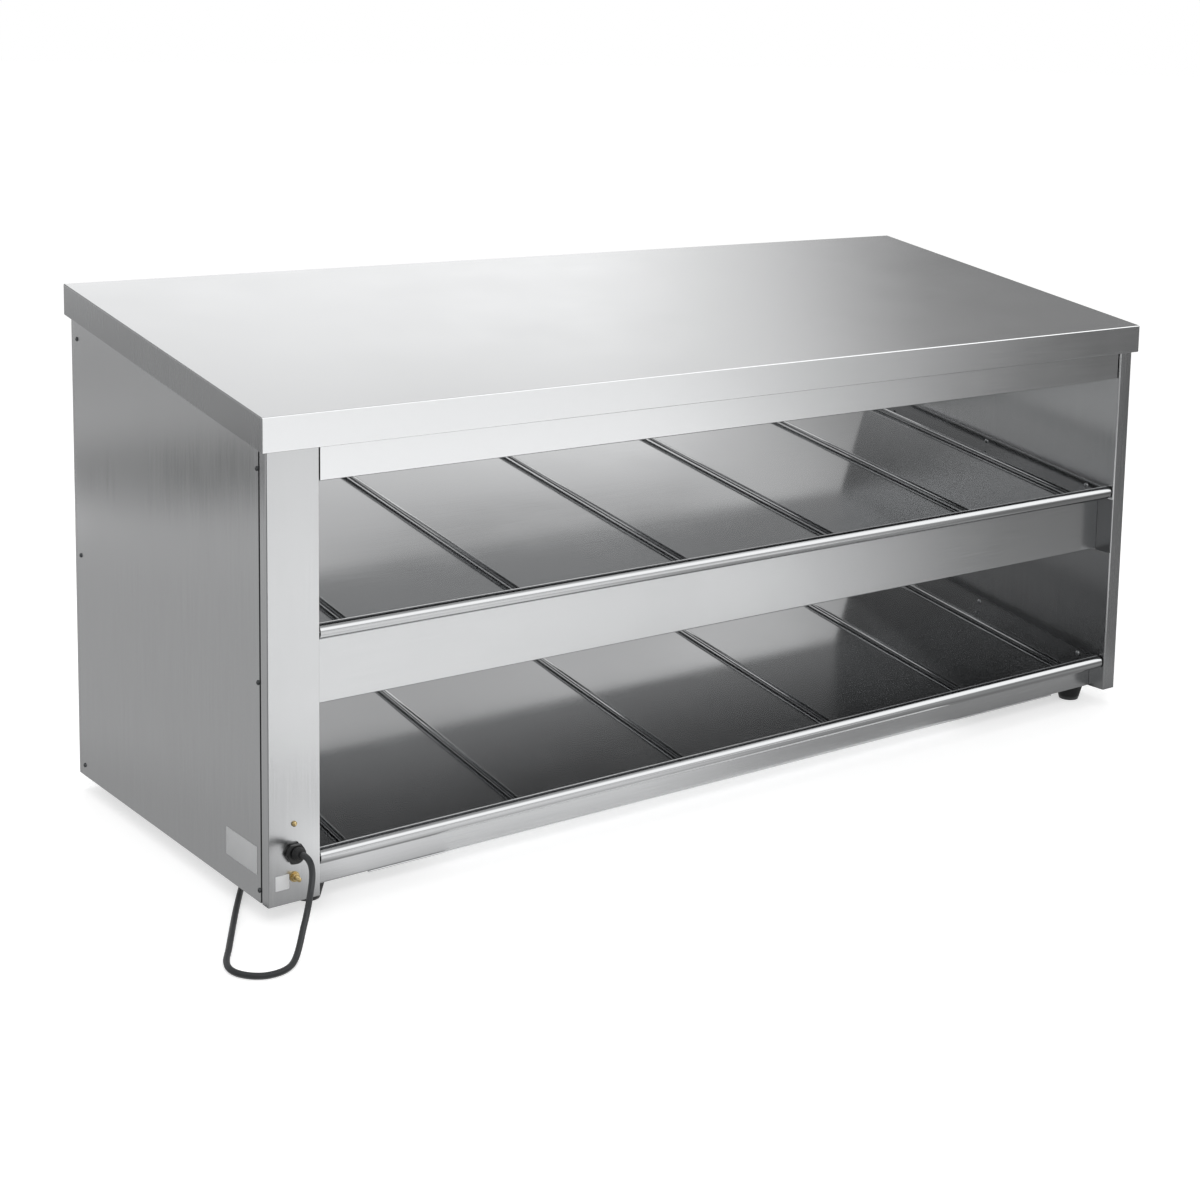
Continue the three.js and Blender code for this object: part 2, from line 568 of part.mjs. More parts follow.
// Rocker switch in the rear face: drawn with d out of the face and h up, around the rocker's pivot
const pivotDepth = rearFace + rocker.bezelDepth - rocker.endDepth + rocker.pivotInset;

function switchSet() {
  const x = [serviceX - rocker.width / 2, serviceX + rocker.width / 2];
  const z = [rockerHeight - rocker.tall / 2, rockerHeight + rocker.tall / 2];
  const bezel = block(x, [rearFace + seatGap, rearFace + rocker.bezelDepth], z);
  const lip = seatGap * 4;
  const barrel = block([x[0] + lip, x[1] - lip],
    [rearFace - rocker.bodyDepth, rearFace + rocker.bezelDepth / 2], [z[0] + lip, z[1] - lip]);
  const clear = rocker.faceWidth / 2 + seatGap;
  const high = rocker.endRadius + seatGap;
  const well = block([serviceX - clear, serviceX + clear],
    [pivotDepth - rocker.cavityDepth, rearFace + rocker.bezelDepth + overrun],
    [rockerHeight - high, rockerHeight + high]);
  const pins = drill([serviceX, pivotDepth, rockerHeight], rocker.pivotDia + seatGap * 2,
    rocker.faceWidth + rocker.pivotReach * 2 + seatGap * 2, 'right');
  place('power_switch_body', geometryOf(cut(joined([bezel, barrel]), [well, pins])), blackPlastic);
  const tilt = THREE.MathUtils.degToRad(rocker.tiltDeg);
  const endHigh = Math.sqrt(rocker.endRadius ** 2 - rocker.endDepth ** 2);
  const backHigh = Math.sqrt(rocker.endRadius ** 2 - rocker.backDepth ** 2);
  const outline = [[-rocker.backDepth, -backHigh], [0, -rocker.endRadius], [rocker.endDepth, -endHigh],
    [rocker.dip, 0], [rocker.endDepth, endHigh], [0, rocker.endRadius], [-rocker.backDepth, backHigh]];
  const paddle = alongX(outline, -rocker.faceWidth / 2, rocker.faceWidth / 2);
  const pivot = drill([0, 0, 0], rocker.pivotDia, rocker.faceWidth + rocker.pivotReach * 2, 'right');
  const piece = geometryOf(joined([paddle, pivot])).rotateX(tilt);
  place('power_switch_rocker', piece.translate(serviceX, pivotDepth, rockerHeight), blackPlastic);
}

// Terminal block on the left wall's base pan
function terminalBlock() {
  const x = [serviceX - terminal.width / 2, serviceX + terminal.width / 2];
  const y = [terminal.fromFront - terminal.length / 2, terminal.fromFront + terminal.length / 2];
  const floor = sheet + seatGap;
  const slots = Array.from({ length: terminalPoles }, (_, i) => {
    const middle = y[0] + ((i + 0.5) * terminal.length) / terminalPoles;
    const slot = [middle - terminal.slotWidth / 2, middle + terminal.slotWidth / 2];
    return block([x[0] - overrun, x[1] + overrun], slot,
      [floor + terminal.height - terminal.slotDepth, floor + terminal.height + overrun]);
  });
  const base = solid(block(x, y, [floor, floor + terminal.height]));
  place('terminal_block', geometryOf(cut(base, slots)), whiteCeramic);
}

function lineThrough(points) {
  const corners = points.map((point) => new THREE.Vector3(...point));
  return new THREE.CatmullRomCurve3(corners, false, 'centripetal');
}

// A tube along a smooth line through points, with flat ends
function tube(points, dia, sides, steps) {
  const section = Array.from({ length: sides }, (_, i) => {
    const angle = (2 * Math.PI * (i + 0.5)) / sides;
    return [(dia / 2) * Math.cos(angle), (dia / 2) * Math.sin(angle)];
  });
  const extrudePath = lineThrough(points);
  return new THREE.ExtrudeGeometry(shapeOf(section), { steps, extrudePath, bevelEnabled: false });
}

// Sheathed leads inside the left wall: gland to terminals, terminals to switch, and thermostat
// to the two heating mats
function wiringLeads() {
  const blockFront = terminal.fromFront - terminal.length / 2 - seatGap;
  const blockRear = terminal.fromFront + terminal.length / 2 + seatGap;
  const low = terminal.height / 2;
  const switchBack = rearFace - rocker.bodyDepth - seatGap;
  const housingFront = rearFace - sheet - seatGap * 2 - thermostat.depth;
  const side = {
    switch: serviceX - terminal.width / 2 - lead.dia, upper: serviceX + lead.dia, lower: serviceX - lead.dia,
  };
  const matEdge = bay.left + heater.sideInset - seatGap;
  const boardMiddle = (frontFloor, y) => floorLine(frontFloor, y)
    - (sheet + heater.thickness + seatGap * 2 + insulation.thickness / 2) / Math.cos(slope);
  const straight = lead.dia;
  const toMat = (frontFloor, start, depth, hole) => [
    [start, housingFront, knob.height], [start, housingFront - straight, knob.height],
    [start, housingFront - lead.dia * 4, knob.height - lead.dia * 4],
    [start, (housingFront + depth) / 2, (knob.height + hole) / 2],
    [start, depth + lead.dia * 3, hole + lead.dia],
    [wall.left - lead.dia * 2, depth, hole], [wall.left + lead.dia * 2, depth, hole],
    [matEdge - lead.dia * 2, depth, boardMiddle(frontFloor, depth)],
    [matEdge - straight, depth, boardMiddle(frontFloor, depth)],
    [matEdge, depth, boardMiddle(frontFloor, depth)],
  ];
  const runs = {
    supply_lead: [
      [serviceX, gland.threadLength + seatGap, gland.height],
      [serviceX, gland.threadLength + seatGap + straight, gland.height],
      [serviceX, gland.threadLength * 4, gland.height - lead.dia * 2],
      [serviceX, blockFront - lead.dia * 4, low + lead.dia], [serviceX, blockFront - straight, low],
      [serviceX, blockFront, low],
    ],
    switch_lead: [
      [serviceX, blockRear, low], [serviceX, blockRear + straight, low],
      [side.switch, blockRear + lead.dia * 8, low], [side.switch, rearFace / 2, low],
      [side.switch, switchBack - lead.dia * 9, rockerHeight / 2],
      [serviceX, switchBack - lead.dia * 4, rockerHeight - lead.dia],
      [serviceX, switchBack - straight, rockerHeight], [serviceX, switchBack, rockerHeight],
    ],
    upper_heater_lead: toMat(shelf.upperFloor, side.upper, lead.upperDepth, leadHole.upper),
    lower_heater_lead: toMat(lowerFloor, side.lower, lead.lowerDepth, leadHole.lower),
  };
  for (const [name, points] of Object.entries(runs)) {
    place(name, tube(points, lead.dia, 6, 20), blackRubber);
  }
}

// A tube of straight steps through points, its sections upright, for the wound cord
function wound(points, dia, sides) {
  const up = new THREE.Vector3(0, 0, 1);
  const positions = [];
  points.forEach((point, i) => {
    const ahead = points[Math.min(i + 1, points.length - 1)];
    const behind = points[Math.max(i - 1, 0)];
    const along = ahead.clone().sub(behind).normalize();
    const across = along.clone().cross(up).normalize();
    const over = across.clone().cross(along);
    for (let k = 0; k < sides; k += 1) {
      const angle = (2 * Math.PI * k) / sides;
      const spot = point.clone().addScaledVector(across, (dia / 2) * Math.cos(angle))
        .addScaledVector(over, (dia / 2) * Math.sin(angle));
      positions.push(spot.x, spot.y, spot.z);
    }
  });
  const faces = [];
  for (let i = 0; i + 1 < points.length; i += 1) {
    for (let k = 0; k < sides; k += 1) {
      const [a, b] = [i * sides + k, i * sides + ((k + 1) % sides)];
      faces.push(a, a + sides, b, b, a + sides, b + sides);
    }
  }
  const last = (points.length - 1) * sides;
  for (let k = 1; k + 1 < sides; k += 1) {
    faces.push(0, k, k + 1, last, last + k + 1, last + k);
  }
  const geometry = new THREE.BufferGeometry();
  geometry.setAttribute('position', new THREE.Float32BufferAttribute(positions, 3));
  geometry.setIndex(faces);
  return geometry;
}

// Coil: the turns spiral in on the ground layer, climb in the half turn where they reverse,
// and spiral out again on top
const ground = -foot.height;
const coilBase = ground + tie.thickness + seatGap + cord.dia / 2;
const coilOuter = cord.coilMid / 2 + (cord.radialPitch * cord.turns) / 4;
const coilHeading = THREE.MathUtils.degToRad(coilPlace.headingDeg);
const headingVector = new THREE.Vector3(Math.cos(coilHeading), Math.sin(coilHeading), 0);

function coilPoint(turn) {
  const radius = coilOuter - cord.radialPitch * Math.min(turn, cord.turns - turn);
  const climb = THREE.MathUtils.smoothstep(turn, cord.turns / 2 - 0.25, cord.turns / 2 + 0.25);
  const angle = coilHeading - Math.PI / 2 + 2 * Math.PI * turn;
  return new THREE.Vector3(coilPlace.x + radius * Math.cos(angle), coilPlace.y + radius * Math.sin(angle),
    coilBase + cord.layerPitch * climb);
}

function coilPoints(stepsPerTurn) {
  const steps = cord.turns * stepsPerTurn;
  const points = Array.from({ length: steps + 1 }, (_, i) => coilPoint(i / stepsPerTurn));
  points.unshift(points[0].clone().addScaledVector(headingVector, -cord.dia));
  points.push(points[points.length - 1].clone().addScaledVector(headingVector, cord.dia));
  return points;
}

function pathLength(points) {
  return points.slice(1).reduce((sum, point, i) => sum + point.distanceTo(points[i]), 0);
}

// Least gap between stretches of the winding that lie further apart along it than a half turn
function leastGap(points, dia) {
  let least = Infinity;
  const skip = Math.round(points.length / cord.turns / 2);
  for (let i = 0; i < points.length; i += 1) {
    for (let k = i + skip; k < points.length; k += 1) {
      least = Math.min(least, points[i].distanceTo(points[k]));
    }
  }
  return least - dia;
}

const coilStart = coilPoint(0).addScaledVector(headingVector, -cord.dia);
const coilEnd = coilPoint(cord.turns).addScaledVector(headingVector, cord.dia);
const plugAxis = ground + plug.bodyDia / 2 + seatGap / 2;
const plugBack = new THREE.Vector3(coilEnd.x, coilEnd.y, plugAxis)
  .addScaledVector(headingVector, plug.fromCoil);

function powerCord() {
  const alongHeading = (point, distance) => point.clone().addScaledVector(headingVector, distance).toArray();
  const run = [...cordRoute, alongHeading(coilStart, -cord.dia * 5), alongHeading(coilStart, -seatGap)];
  place('power_cord', tube(run, cord.dia, 8, 62), cordRubber);
  place('power_cord_coil', wound(coilPoints(24), cord.dia, 6), cordRubber);
  const straight = cord.dia * 1.5;
  const tail = [alongHeading(coilEnd, seatGap), alongHeading(coilEnd, straight),
    alongHeading(plugBack, -straight), alongHeading(plugBack, -seatGap)];
  place('power_cord_tail', tube(tail, cord.dia, 8, 5), cordRubber);
  const lengths = [lineThrough(run).getLength(), pathLength(coilPoints(96)), lineThrough(tail).getLength()];
  const total = lengths.reduce((sum, value) => sum + value, 0);
  console.log(`cord ${total.toFixed(0)} mm: ${lengths.map((value) => value.toFixed(0)).join(' + ')}`);
  console.log(`coil least gap ${leastGap(coilPoints(96), cord.dia).toFixed(2)} mm`);
}

// Strap round the coil, opposite the place where the cord enters it
function coilTie() {
  const inner = coilOuter - cord.radialPitch * (cord.turns / 2 - 0.5) - cord.dia / 2 - tie.clearance;
  const outer = coilOuter - cord.radialPitch * 0.5 + cord.dia / 2 + tie.clearance;
  const low = ground + tie.thickness;
  const high = coilBase + cord.layerPitch + cord.dia / 2 + seatGap;
  const half = tie.width / 2;
  const skin = block(
    [inner - tie.thickness, outer + tie.thickness], [-half, half], [ground, high + tie.thickness]);
  const space = block([inner, outer], [-half - overrun, half + overrun], [low, high]);
  const strap = geometryOf(cut(solid(skin), [space])).rotateZ(coilHeading + Math.PI / 2);
  place('cord_tie', strap.translate(coilPlace.x, coilPlace.y, 0), blackRubber);
}

// Two-pin mains plug lying beside the coil
function mainsPlug() {
  const face = plug.tailLength + plug.gripLength + plug.faceLength;
  const gripEnd = plug.tailLength + plug.gripLength;
  const shell = solid(turned([[0, 0], [plug.tailDia / 2, 0], [plug.shoulderDia / 3, plug.tailLength],
    [plug.shoulderDia / 2, plug.tailLength + plug.gripLength / 4], [plug.shoulderDia / 2, gripEnd],
    [plug.bodyDia / 2, gripEnd + plug.faceLength / 4], [plug.bodyDia / 2, face], [0, face]], 20));
  const pinMiddle = face + (plug.pinLength - overrun) / 2;
  const pins = [-1, 1].map((side) => drill(
    [(side * plug.pinPitch) / 2, 0, pinMiddle], plug.pinDia, plug.pinLength + overrun, 'up'));
  const whole = facing.back(geometryOf(shell.add(joined(pins)))).rotateZ(coilHeading - Math.PI / 2);
  place('mains_plug', whole.translate(...plugBack.toArray()), blackRubber);
}

// Holes in the left wall's shell for what passes through it
function serviceHoles() {
  const through = overrun * 2;
  const round = (x, y, z, dia) => drill([x, y, z], dia + seatGap * 2, through, 'back');
  const slot = seatGap * 3;
  return [
    round(serviceX, 0, gland.height, gland.threadDia), round(serviceX, 0, earthBolt.height, earthBolt.dia),
    round(serviceX, 0, groundStud.height, groundStud.shankDia),
    round(serviceX, rearFace, knob.height, thermostat.neckDia),
    block([serviceX - rocker.width / 2 + slot, serviceX + rocker.width / 2 - slot],
      [rearFace - through, rearFace + through],
      [rockerHeight - rocker.tall / 2 + slot, rockerHeight + rocker.tall / 2 - slot]),
    drill([wall.left, lead.upperDepth, leadHole.upper], lead.holeDia, through, 'right'),
    drill([wall.left, lead.lowerDepth, leadHole.lower], lead.holeDia, through, 'right'),
  ];
}

// The case, from the outside in
topCover();
topStiffeners();
roofLiner();
wallShell('left', wall.left, serviceHoles());
wallShell('right', wall.right, []);
outerPanel('left');
outerPanel('right');
wallBase('left', wall.left);
wallBase('right', wall.right);

// The two heated shelves
const levels = [
  { level: 'upper', frontFloor: shelf.upperFloor, shares: upperRodShares, bottom: apronBottom },
  { level: 'lower', frontFloor: lowerFloor, shares: lowerRodShares, bottom: () => 0 },
];
for (const { level, frontFloor, shares, bottom } of levels) {
  const group = shelfGroup(frontFloor);
  shelfTray(level, group);
  heatingMat(level, group);
  dividerRods(level, shares, group);
  frontApron(level, bottom);
  rearApron(level, bottom);
}
closingSheets();
bottomCoverSheet();
feet();

// Services in and on the left wall
cableGland();
glandBoot();
earthBoltSet();
thermostatSet();
switchSet();
terminalBlock();
wiringLeads();

// Cord, coil and plug
powerCord();
coilTie();
mainsPlug();

// Stand the feet on the ground, with the case's box centred on the origin
const caseFront = -earthBolt.proud;
const caseBack = rearFace + knob.standoff + knob.skirtHeight + knob.gripHeight + knob.pointer / 2;
caseGroup.position.set(-body.width / 2, -(caseFront + caseBack) / 2, foot.height);

const heatedDisplayCase = new THREE.Group();
heatedDisplayCase.add(caseGroup);

export default heatedDisplayCase;
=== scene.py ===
# Heated display case: the looks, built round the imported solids.
from math import acos, atan2, cos, degrees, inf, pi, radians, sin, tan

import bmesh
import bpy
from mathutils import Euler, Matrix, Vector


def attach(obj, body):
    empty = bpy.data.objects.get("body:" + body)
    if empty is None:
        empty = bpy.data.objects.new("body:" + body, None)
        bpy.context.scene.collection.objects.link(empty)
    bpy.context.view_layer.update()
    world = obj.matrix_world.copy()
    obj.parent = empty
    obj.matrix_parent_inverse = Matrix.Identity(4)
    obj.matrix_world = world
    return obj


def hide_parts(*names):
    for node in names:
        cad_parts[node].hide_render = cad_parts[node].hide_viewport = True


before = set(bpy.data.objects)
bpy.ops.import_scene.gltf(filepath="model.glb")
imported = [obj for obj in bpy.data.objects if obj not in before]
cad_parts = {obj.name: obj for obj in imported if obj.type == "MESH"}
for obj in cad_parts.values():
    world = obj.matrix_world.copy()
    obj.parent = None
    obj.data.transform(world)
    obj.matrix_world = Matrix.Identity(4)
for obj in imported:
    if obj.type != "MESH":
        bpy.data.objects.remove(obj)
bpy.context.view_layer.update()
scene = bpy.context.scene
mm = 0.001
origin = Vector((-0.6925, -0.25865, 0.023))  # where the case's own zero stands in the part's frame
caseWidth = 1385


def at(x, y, z):
    return Vector((x, y, z)) * mm + origin


# Camera, at the photograph's place and angle
camera = {
    "place": (-1.68028, -2.15109, 0.95031),
    "turnDeg": (81.763, -0.979, -36.714),
    "lens": 62.08,
    "sensor": 36.0,
    "shiftY": -0.21676,
}
eyeData = bpy.data.cameras.new("camera")
eyeData.lens = camera["lens"]
eyeData.sensor_width = camera["sensor"]
eyeData.shift_y = camera["shiftY"]
eyeData.clip_start = 0.05
eyeData.clip_end = 200
eye = bpy.data.objects.new("camera", eyeData)
eye.location = camera["place"]
eye.rotation_euler = Euler([radians(turn) for turn in camera["turnDeg"]])
scene.collection.objects.link(eye)
scene.camera = eye
print("camera set")


# Colours are written as sRGB hex and turned to linear here
def linear(hexText):
    shares = [int(hexText[i:i + 2], 16) / 255 for i in (1, 3, 5)]
    return tuple(s / 12.92 if s <= 0.04045 else ((s + 0.055) / 1.055) ** 2.4 for s in shares) + (1.0,)


# Adds one node with its settings; an input is a value, or the output that feeds it
def addNode(tree, kind, settings=None, inputs=None):
    node = tree.nodes.new(kind)
    for name, value in (settings or {}).items():
        setattr(node, name, value)
    for name, value in (inputs or {}).items():
        if isinstance(value, bpy.types.NodeSocket):
            tree.links.new(value, node.inputs[name])
        else:
            node.inputs[name].default_value = value
    return node


def newMaterial(name):
    material = bpy.data.materials.new(name)
    material.use_nodes = True
    material.node_tree.nodes.clear()
    return material, material.node_tree


# A material with its own place in space, which every pattern starts from
def startFinish(name):
    material, tree = newMaterial(name)
    return material, tree, addNode(tree, "ShaderNodeTexCoord").outputs["Object"]


# Two tones mixed by a pattern, then the shader with its other inputs, then the output
def endFinish(tree, tones, pattern, inputs):
    tone = addNode(tree, "ShaderNodeMix", {"data_type": "RGBA"}, {
        "Factor": pattern, "A": linear(tones[0]), "B": linear(tones[1])}).outputs["Result"]
    shader = addNode(tree, "ShaderNodeBsdfPrincipled", inputs={"Base Color": tone, **inputs}).outputs[0]
    addNode(tree, "ShaderNodeOutputMaterial", inputs={"Surface": shader})


# Stainless sheet. Fine parallel scratches from the mill's belt run along one axis and spread the
# reflections across it; handling leaves wide, faint patches that are a touch duller
steelFinish = {
    "scratchMm": 1.6,   # real scratches are 0.1 mm apart, drawn coarser to show
    "scratchLengthMm": 90,
    "scratchRough": 0.022,
    "smudgeMm": 111.1,
    "smudgeRough": 0.015,
    "swellMm": 200,   # sheet is never quite flat
    "swellHeightMm": 0.1,
}


def steelSheet(name, grain, tones, roughness, spread):
    finish = steelFinish
    material, tree, place = startFinish(name)
    across, along = 1 / (finish["scratchMm"] * mm), 1 / (finish["scratchLengthMm"] * mm)
    stretched = addNode(tree, "ShaderNodeMapping", inputs={
        "Vector": place, "Scale": [along if axis == grain else across for axis in "xyz"]}).outputs[0]
    scratches = addNode(tree, "ShaderNodeTexNoise", inputs={
        "Vector": stretched, "Scale": 1.0, "Detail": 3.0, "Roughness": 0.6}).outputs["Fac"]
    patches = addNode(tree, "ShaderNodeTexNoise", inputs={
        "Vector": place, "Scale": 1 / (finish["smudgeMm"] * mm), "Detail": 2.0,
        "Roughness": 0.5}).outputs["Fac"]
    rough = roughness
    for pattern, low, high, most in ((scratches, 0.25, 0.75, finish["scratchRough"]),
                                     (patches, 0.3, 0.7, finish["smudgeRough"])):
        change = addNode(tree, "ShaderNodeMapRange", inputs={
            "Value": pattern, "From Min": low, "From Max": high, "To Min": -most, "To Max": most}).outputs[0]
        rough = addNode(tree, "ShaderNodeMath", {"operation": "ADD"}, {0: rough, 1: change}).outputs[0]
    ripple = addNode(tree, "ShaderNodeTexNoise", inputs={
        "Vector": place, "Scale": 1 / (finish["swellMm"] * mm), "Detail": 0.0}).outputs["Fac"]
    swell = addNode(tree, "ShaderNodeBump", inputs={
        "Height": ripple, "Strength": 1.0, "Distance": finish["swellHeightMm"] * mm}).outputs[0]
    grainWay = addNode(tree, "ShaderNodeCombineXYZ", inputs={grain.upper(): 1.0}).outputs[0]
    endFinish(tree, tones, scratches, {
        "Metallic": 1.0, "Roughness": rough, "Normal": swell, "Anisotropic": spread,
        "Anisotropic Rotation": 0.25, "Tangent": grainWay})
    return material


# name, grain, the two tones of the scratches, roughness, how far the grain spreads a reflection
brushedAcross = steelSheet("brushedStainlessAcross", "x", ("#D8D9DA", "#DCDDDE"), 0.19, 0.5)
brushedUpright = steelSheet("brushedStainlessUpright", "z", ("#BABBBC", "#C8C9CA"), 0.24, 0.6)
brushedApron = steelSheet("brushedStainlessApron", "x", ("#BBBCBD", "#C7C8C9"), 0.24, 0.7)
# painted shade: a darker copy of the upright steel, for the lid's ends and the right wall's front faces
brushedPaintedShade = steelSheet("brushedStainlessPaintedShade", "z", ("#A3A4A5", "#ABACAD"), 0.26, 0.6)
# painted light and painted shade: the right wall's upper bay gets a lighter copy of the upright steel and
# its lower bay a darker one, for how the light falls in each
upperBayPaintedLight = steelSheet("brushedStainlessUpperBayPaintedLight", "z", ("#D4D5D6", "#DCDDDE"), 0.24, 0.6)
lowerBayPaintedShade = steelSheet("brushedStainlessLowerBayPaintedShade", "z", ("#A3A4A5", "#A9AAAB"), 0.24, 0.6)
# rolling leaves the bead coarser, so its highlight is broad
brushedBead = steelSheet("brushedRolledEdge", "x", ("#B6B7B8", "#BEBFC0"), 0.5, 0.75)
# tray sheet comes bright from the mill, with no grain, and mirrors what is behind it
brightTray = steelSheet("brightAnnealedStainless", "x", ("#B2B3B4", "#B6B7B8"), 0.11, 0.0)
# painted shade: a dark steel for the narrow recess of the right wall in front of the upper apron
recessPaintedShade = steelSheet("recessPaintedShadeStainless", "z", ("#6E6F70", "#767778"), 0.32, 0.3)
# a sheared edge is never polished, so it reads as a dark line; the second, darker steel is painted shade for
# the lid's undersides, which lie in shade
cutEdge = steelSheet("shearedStainlessEdge", "z", ("#505152", "#585A5B"), 0.45, 0.0)
undersidePaintedShade = steelSheet("undersidePaintedShadeStainless", "x", ("#4C4D4E", "#565758"), 0.5, 0.0)


# A metal that was turned or drawn and polished: tight, bright reflections, faint turning lines
def turnedMetal(name, tones, roughness, pitchMm):
    material, tree, place = startFinish(name)
    lines = addNode(tree, "ShaderNodeTexNoise", inputs={
        "Vector": place, "Scale": 1 / (pitchMm * mm), "Detail": 2.0}).outputs["Fac"]
    rough = addNode(tree, "ShaderNodeMapRange", inputs={
        "Value": lines, "From Min": 0.3, "From Max": 0.7,
        "To Min": roughness * 0.7, "To Max": roughness * 1.3}).outputs[0]
    endFinish(tree, tones, lines, {"Metallic": 1.0, "Roughness": rough})
    return material


polishedRod = turnedMetal("polishedStainlessRod", ("#BCBDBE", "#C8C9CA"), 0.13, 3.0)
zincScrew = turnedMetal("zincPlatedSteel", ("#A6A8AA", "#B8BABC"), 0.28, 0.9)
blackScrew = turnedMetal("blackenedSteel", ("#4E5052", "#5E6062"), 0.30, 0.9)
turnedBrass = turnedMetal("turnedBrass", ("#B49C6A", "#C6B488"), 0.26, 0.7)


# Sizes of the other finishes' patterns; the mat's glass cloth is finer, drawn coarser to show
patternMm = {"dust": 14, "weave": 4, "fibre": 3}


# Moulded or extruded polymer: a soft broad sheen, a fine orange-peel skin and slight dust
def polymer(name, tones, roughness, grainMm, depthMm):
    material, tree, place = startFinish(name)
    skin = addNode(tree, "ShaderNodeTexNoise", inputs={
        "Vector": place, "Scale": 1 / (grainMm * mm), "Detail": 2.0}).outputs["Fac"]
    dust = addNode(tree, "ShaderNodeTexNoise", inputs={
        "Vector": place, "Scale": 1 / (patternMm["dust"] * mm), "Detail": 3.0}).outputs["Fac"]
    rough = addNode(tree, "ShaderNodeMapRange", inputs={
        "Value": dust, "From Min": 0.3, "From Max": 0.7,
        "To Min": roughness - 0.05, "To Max": roughness + 0.05}).outputs[0]
    peel = addNode(tree, "ShaderNodeBump", inputs={
        "Height": skin, "Strength": 0.5, "Distance": depthMm * mm}).outputs[0]
    endFinish(tree, tones, dust, {"Roughness": rough, "Normal": peel, "IOR": 1.5})
    return material


glandNylon = polymer("mouldedBlackNylon", ("#0B0C0D", "#141516"), 0.38, 0.7, 0.02)
footRubber = polymer("mouldedBlackRubber", ("#0E0F10", "#18191A"), 0.5, 0.6, 0.03)
cordSheath = polymer("extrudedRubberSheath", ("#222426", "#2C2E30"), 0.42, 0.9, 0.02)
whiteInk = polymer("printedWhiteInk", ("#DCDDDE", "#E6E7E8"), 0.55, 0.8, 0.01)
plugRubber = polymer("mouldedPlugRubber", ("#18191B", "#222426"), 0.5, 0.6, 0.03)
leadSheath = polymer("extrudedSiliconeSheath", ("#1B1C1E", "#27292B"), 0.5, 0.6, 0.02)
knobPlastic = polymer("mouldedPhenolic", ("#17181A", "#202224"), 0.3, 0.8, 0.01)
whiteSteatite = polymer("glazedSteatite", ("#DCD8CD", "#E8E4DA"), 0.35, 0.8, 0.02)
plateVinyl = polymer("blankPolyesterPlate", ("#B4B5B6", "#BCBDBE"), 0.42, 0.8, 0.01)
palePlate = polymer("blankWhitePlate", ("#D3D4D5", "#DCDDDE"), 0.40, 0.8, 0.01)


# Red silicone heating mat: glass cloth pressed into the rubber leaves a small square weave
def heaterSilicone():
    material, tree, place = startFinish("wovenSiliconeMat")
    cells = addNode(tree, "ShaderNodeTexChecker", inputs={
        "Vector": place, "Scale": 1 / (patternMm["weave"] * mm)}).outputs["Fac"]
    bump = addNode(tree, "ShaderNodeBump", inputs={
        "Height": cells, "Strength": 0.4, "Distance": 0.1 * mm}).outputs[0]
    endFinish(tree, ("#93422A", "#A34C2E"), cells, {"Roughness": 0.7, "Normal": bump})
    return material


# Pressed mineral wool board: short tangled fibres, matt and a little uneven
def fibreBoard():
    material, tree, place = startFinish("pressedMineralWool")
    fibres = addNode(tree, "ShaderNodeTexNoise", inputs={
        "Vector": place, "Scale": 1 / (patternMm["fibre"] * mm), "Detail": 6.0,
        "Roughness": 0.7}).outputs["Fac"]
    bump = addNode(tree, "ShaderNodeBump", inputs={
        "Height": fibres, "Strength": 0.7, "Distance": 0.4 * mm}).outputs[0]
    endFinish(tree, ("#A99E78", "#CFC6A4"), fibres, {"Roughness": 0.95, "Normal": bump})
    return material


heaterMat = heaterSilicone()
woolBoard = fibreBoard()
print("materials made")


def linked(name, data):
    piece = bpy.data.objects.new(name, data)
    scene.collection.objects.link(piece)
    return piece


def addObject(name, data, material, body, slotName=None, replaced=()):
    piece = linked(name, data)
    data.materials.clear()
    data.materials.append(material)
    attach(piece, body)
    if replaced:
        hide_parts(*replaced)
    return piece


def smoothByAngle(mesh, angleDeg=32):
    mesh.polygons.foreach_set("use_smooth", [True] * len(mesh.polygons))
    mesh.set_sharp_from_angle(angle=radians(angleDeg))


def meshFrom(name, work, angleDeg=32):
    bmesh.ops.recalc_face_normals(work, faces=work.faces)
    mesh = bpy.data.meshes.new(name)
    work.to_mesh(mesh)
    work.free()
    smoothByAngle(mesh, angleDeg)
    return mesh


def addForm(name, work, *rest):
    return addObject(name, meshFrom(name, work), *rest)


def addModifier(piece, kind, settings):
    modifier = piece.modifiers.new(kind.lower(), kind)
    for name, value in settings.items():
        setattr(modifier, name, value)


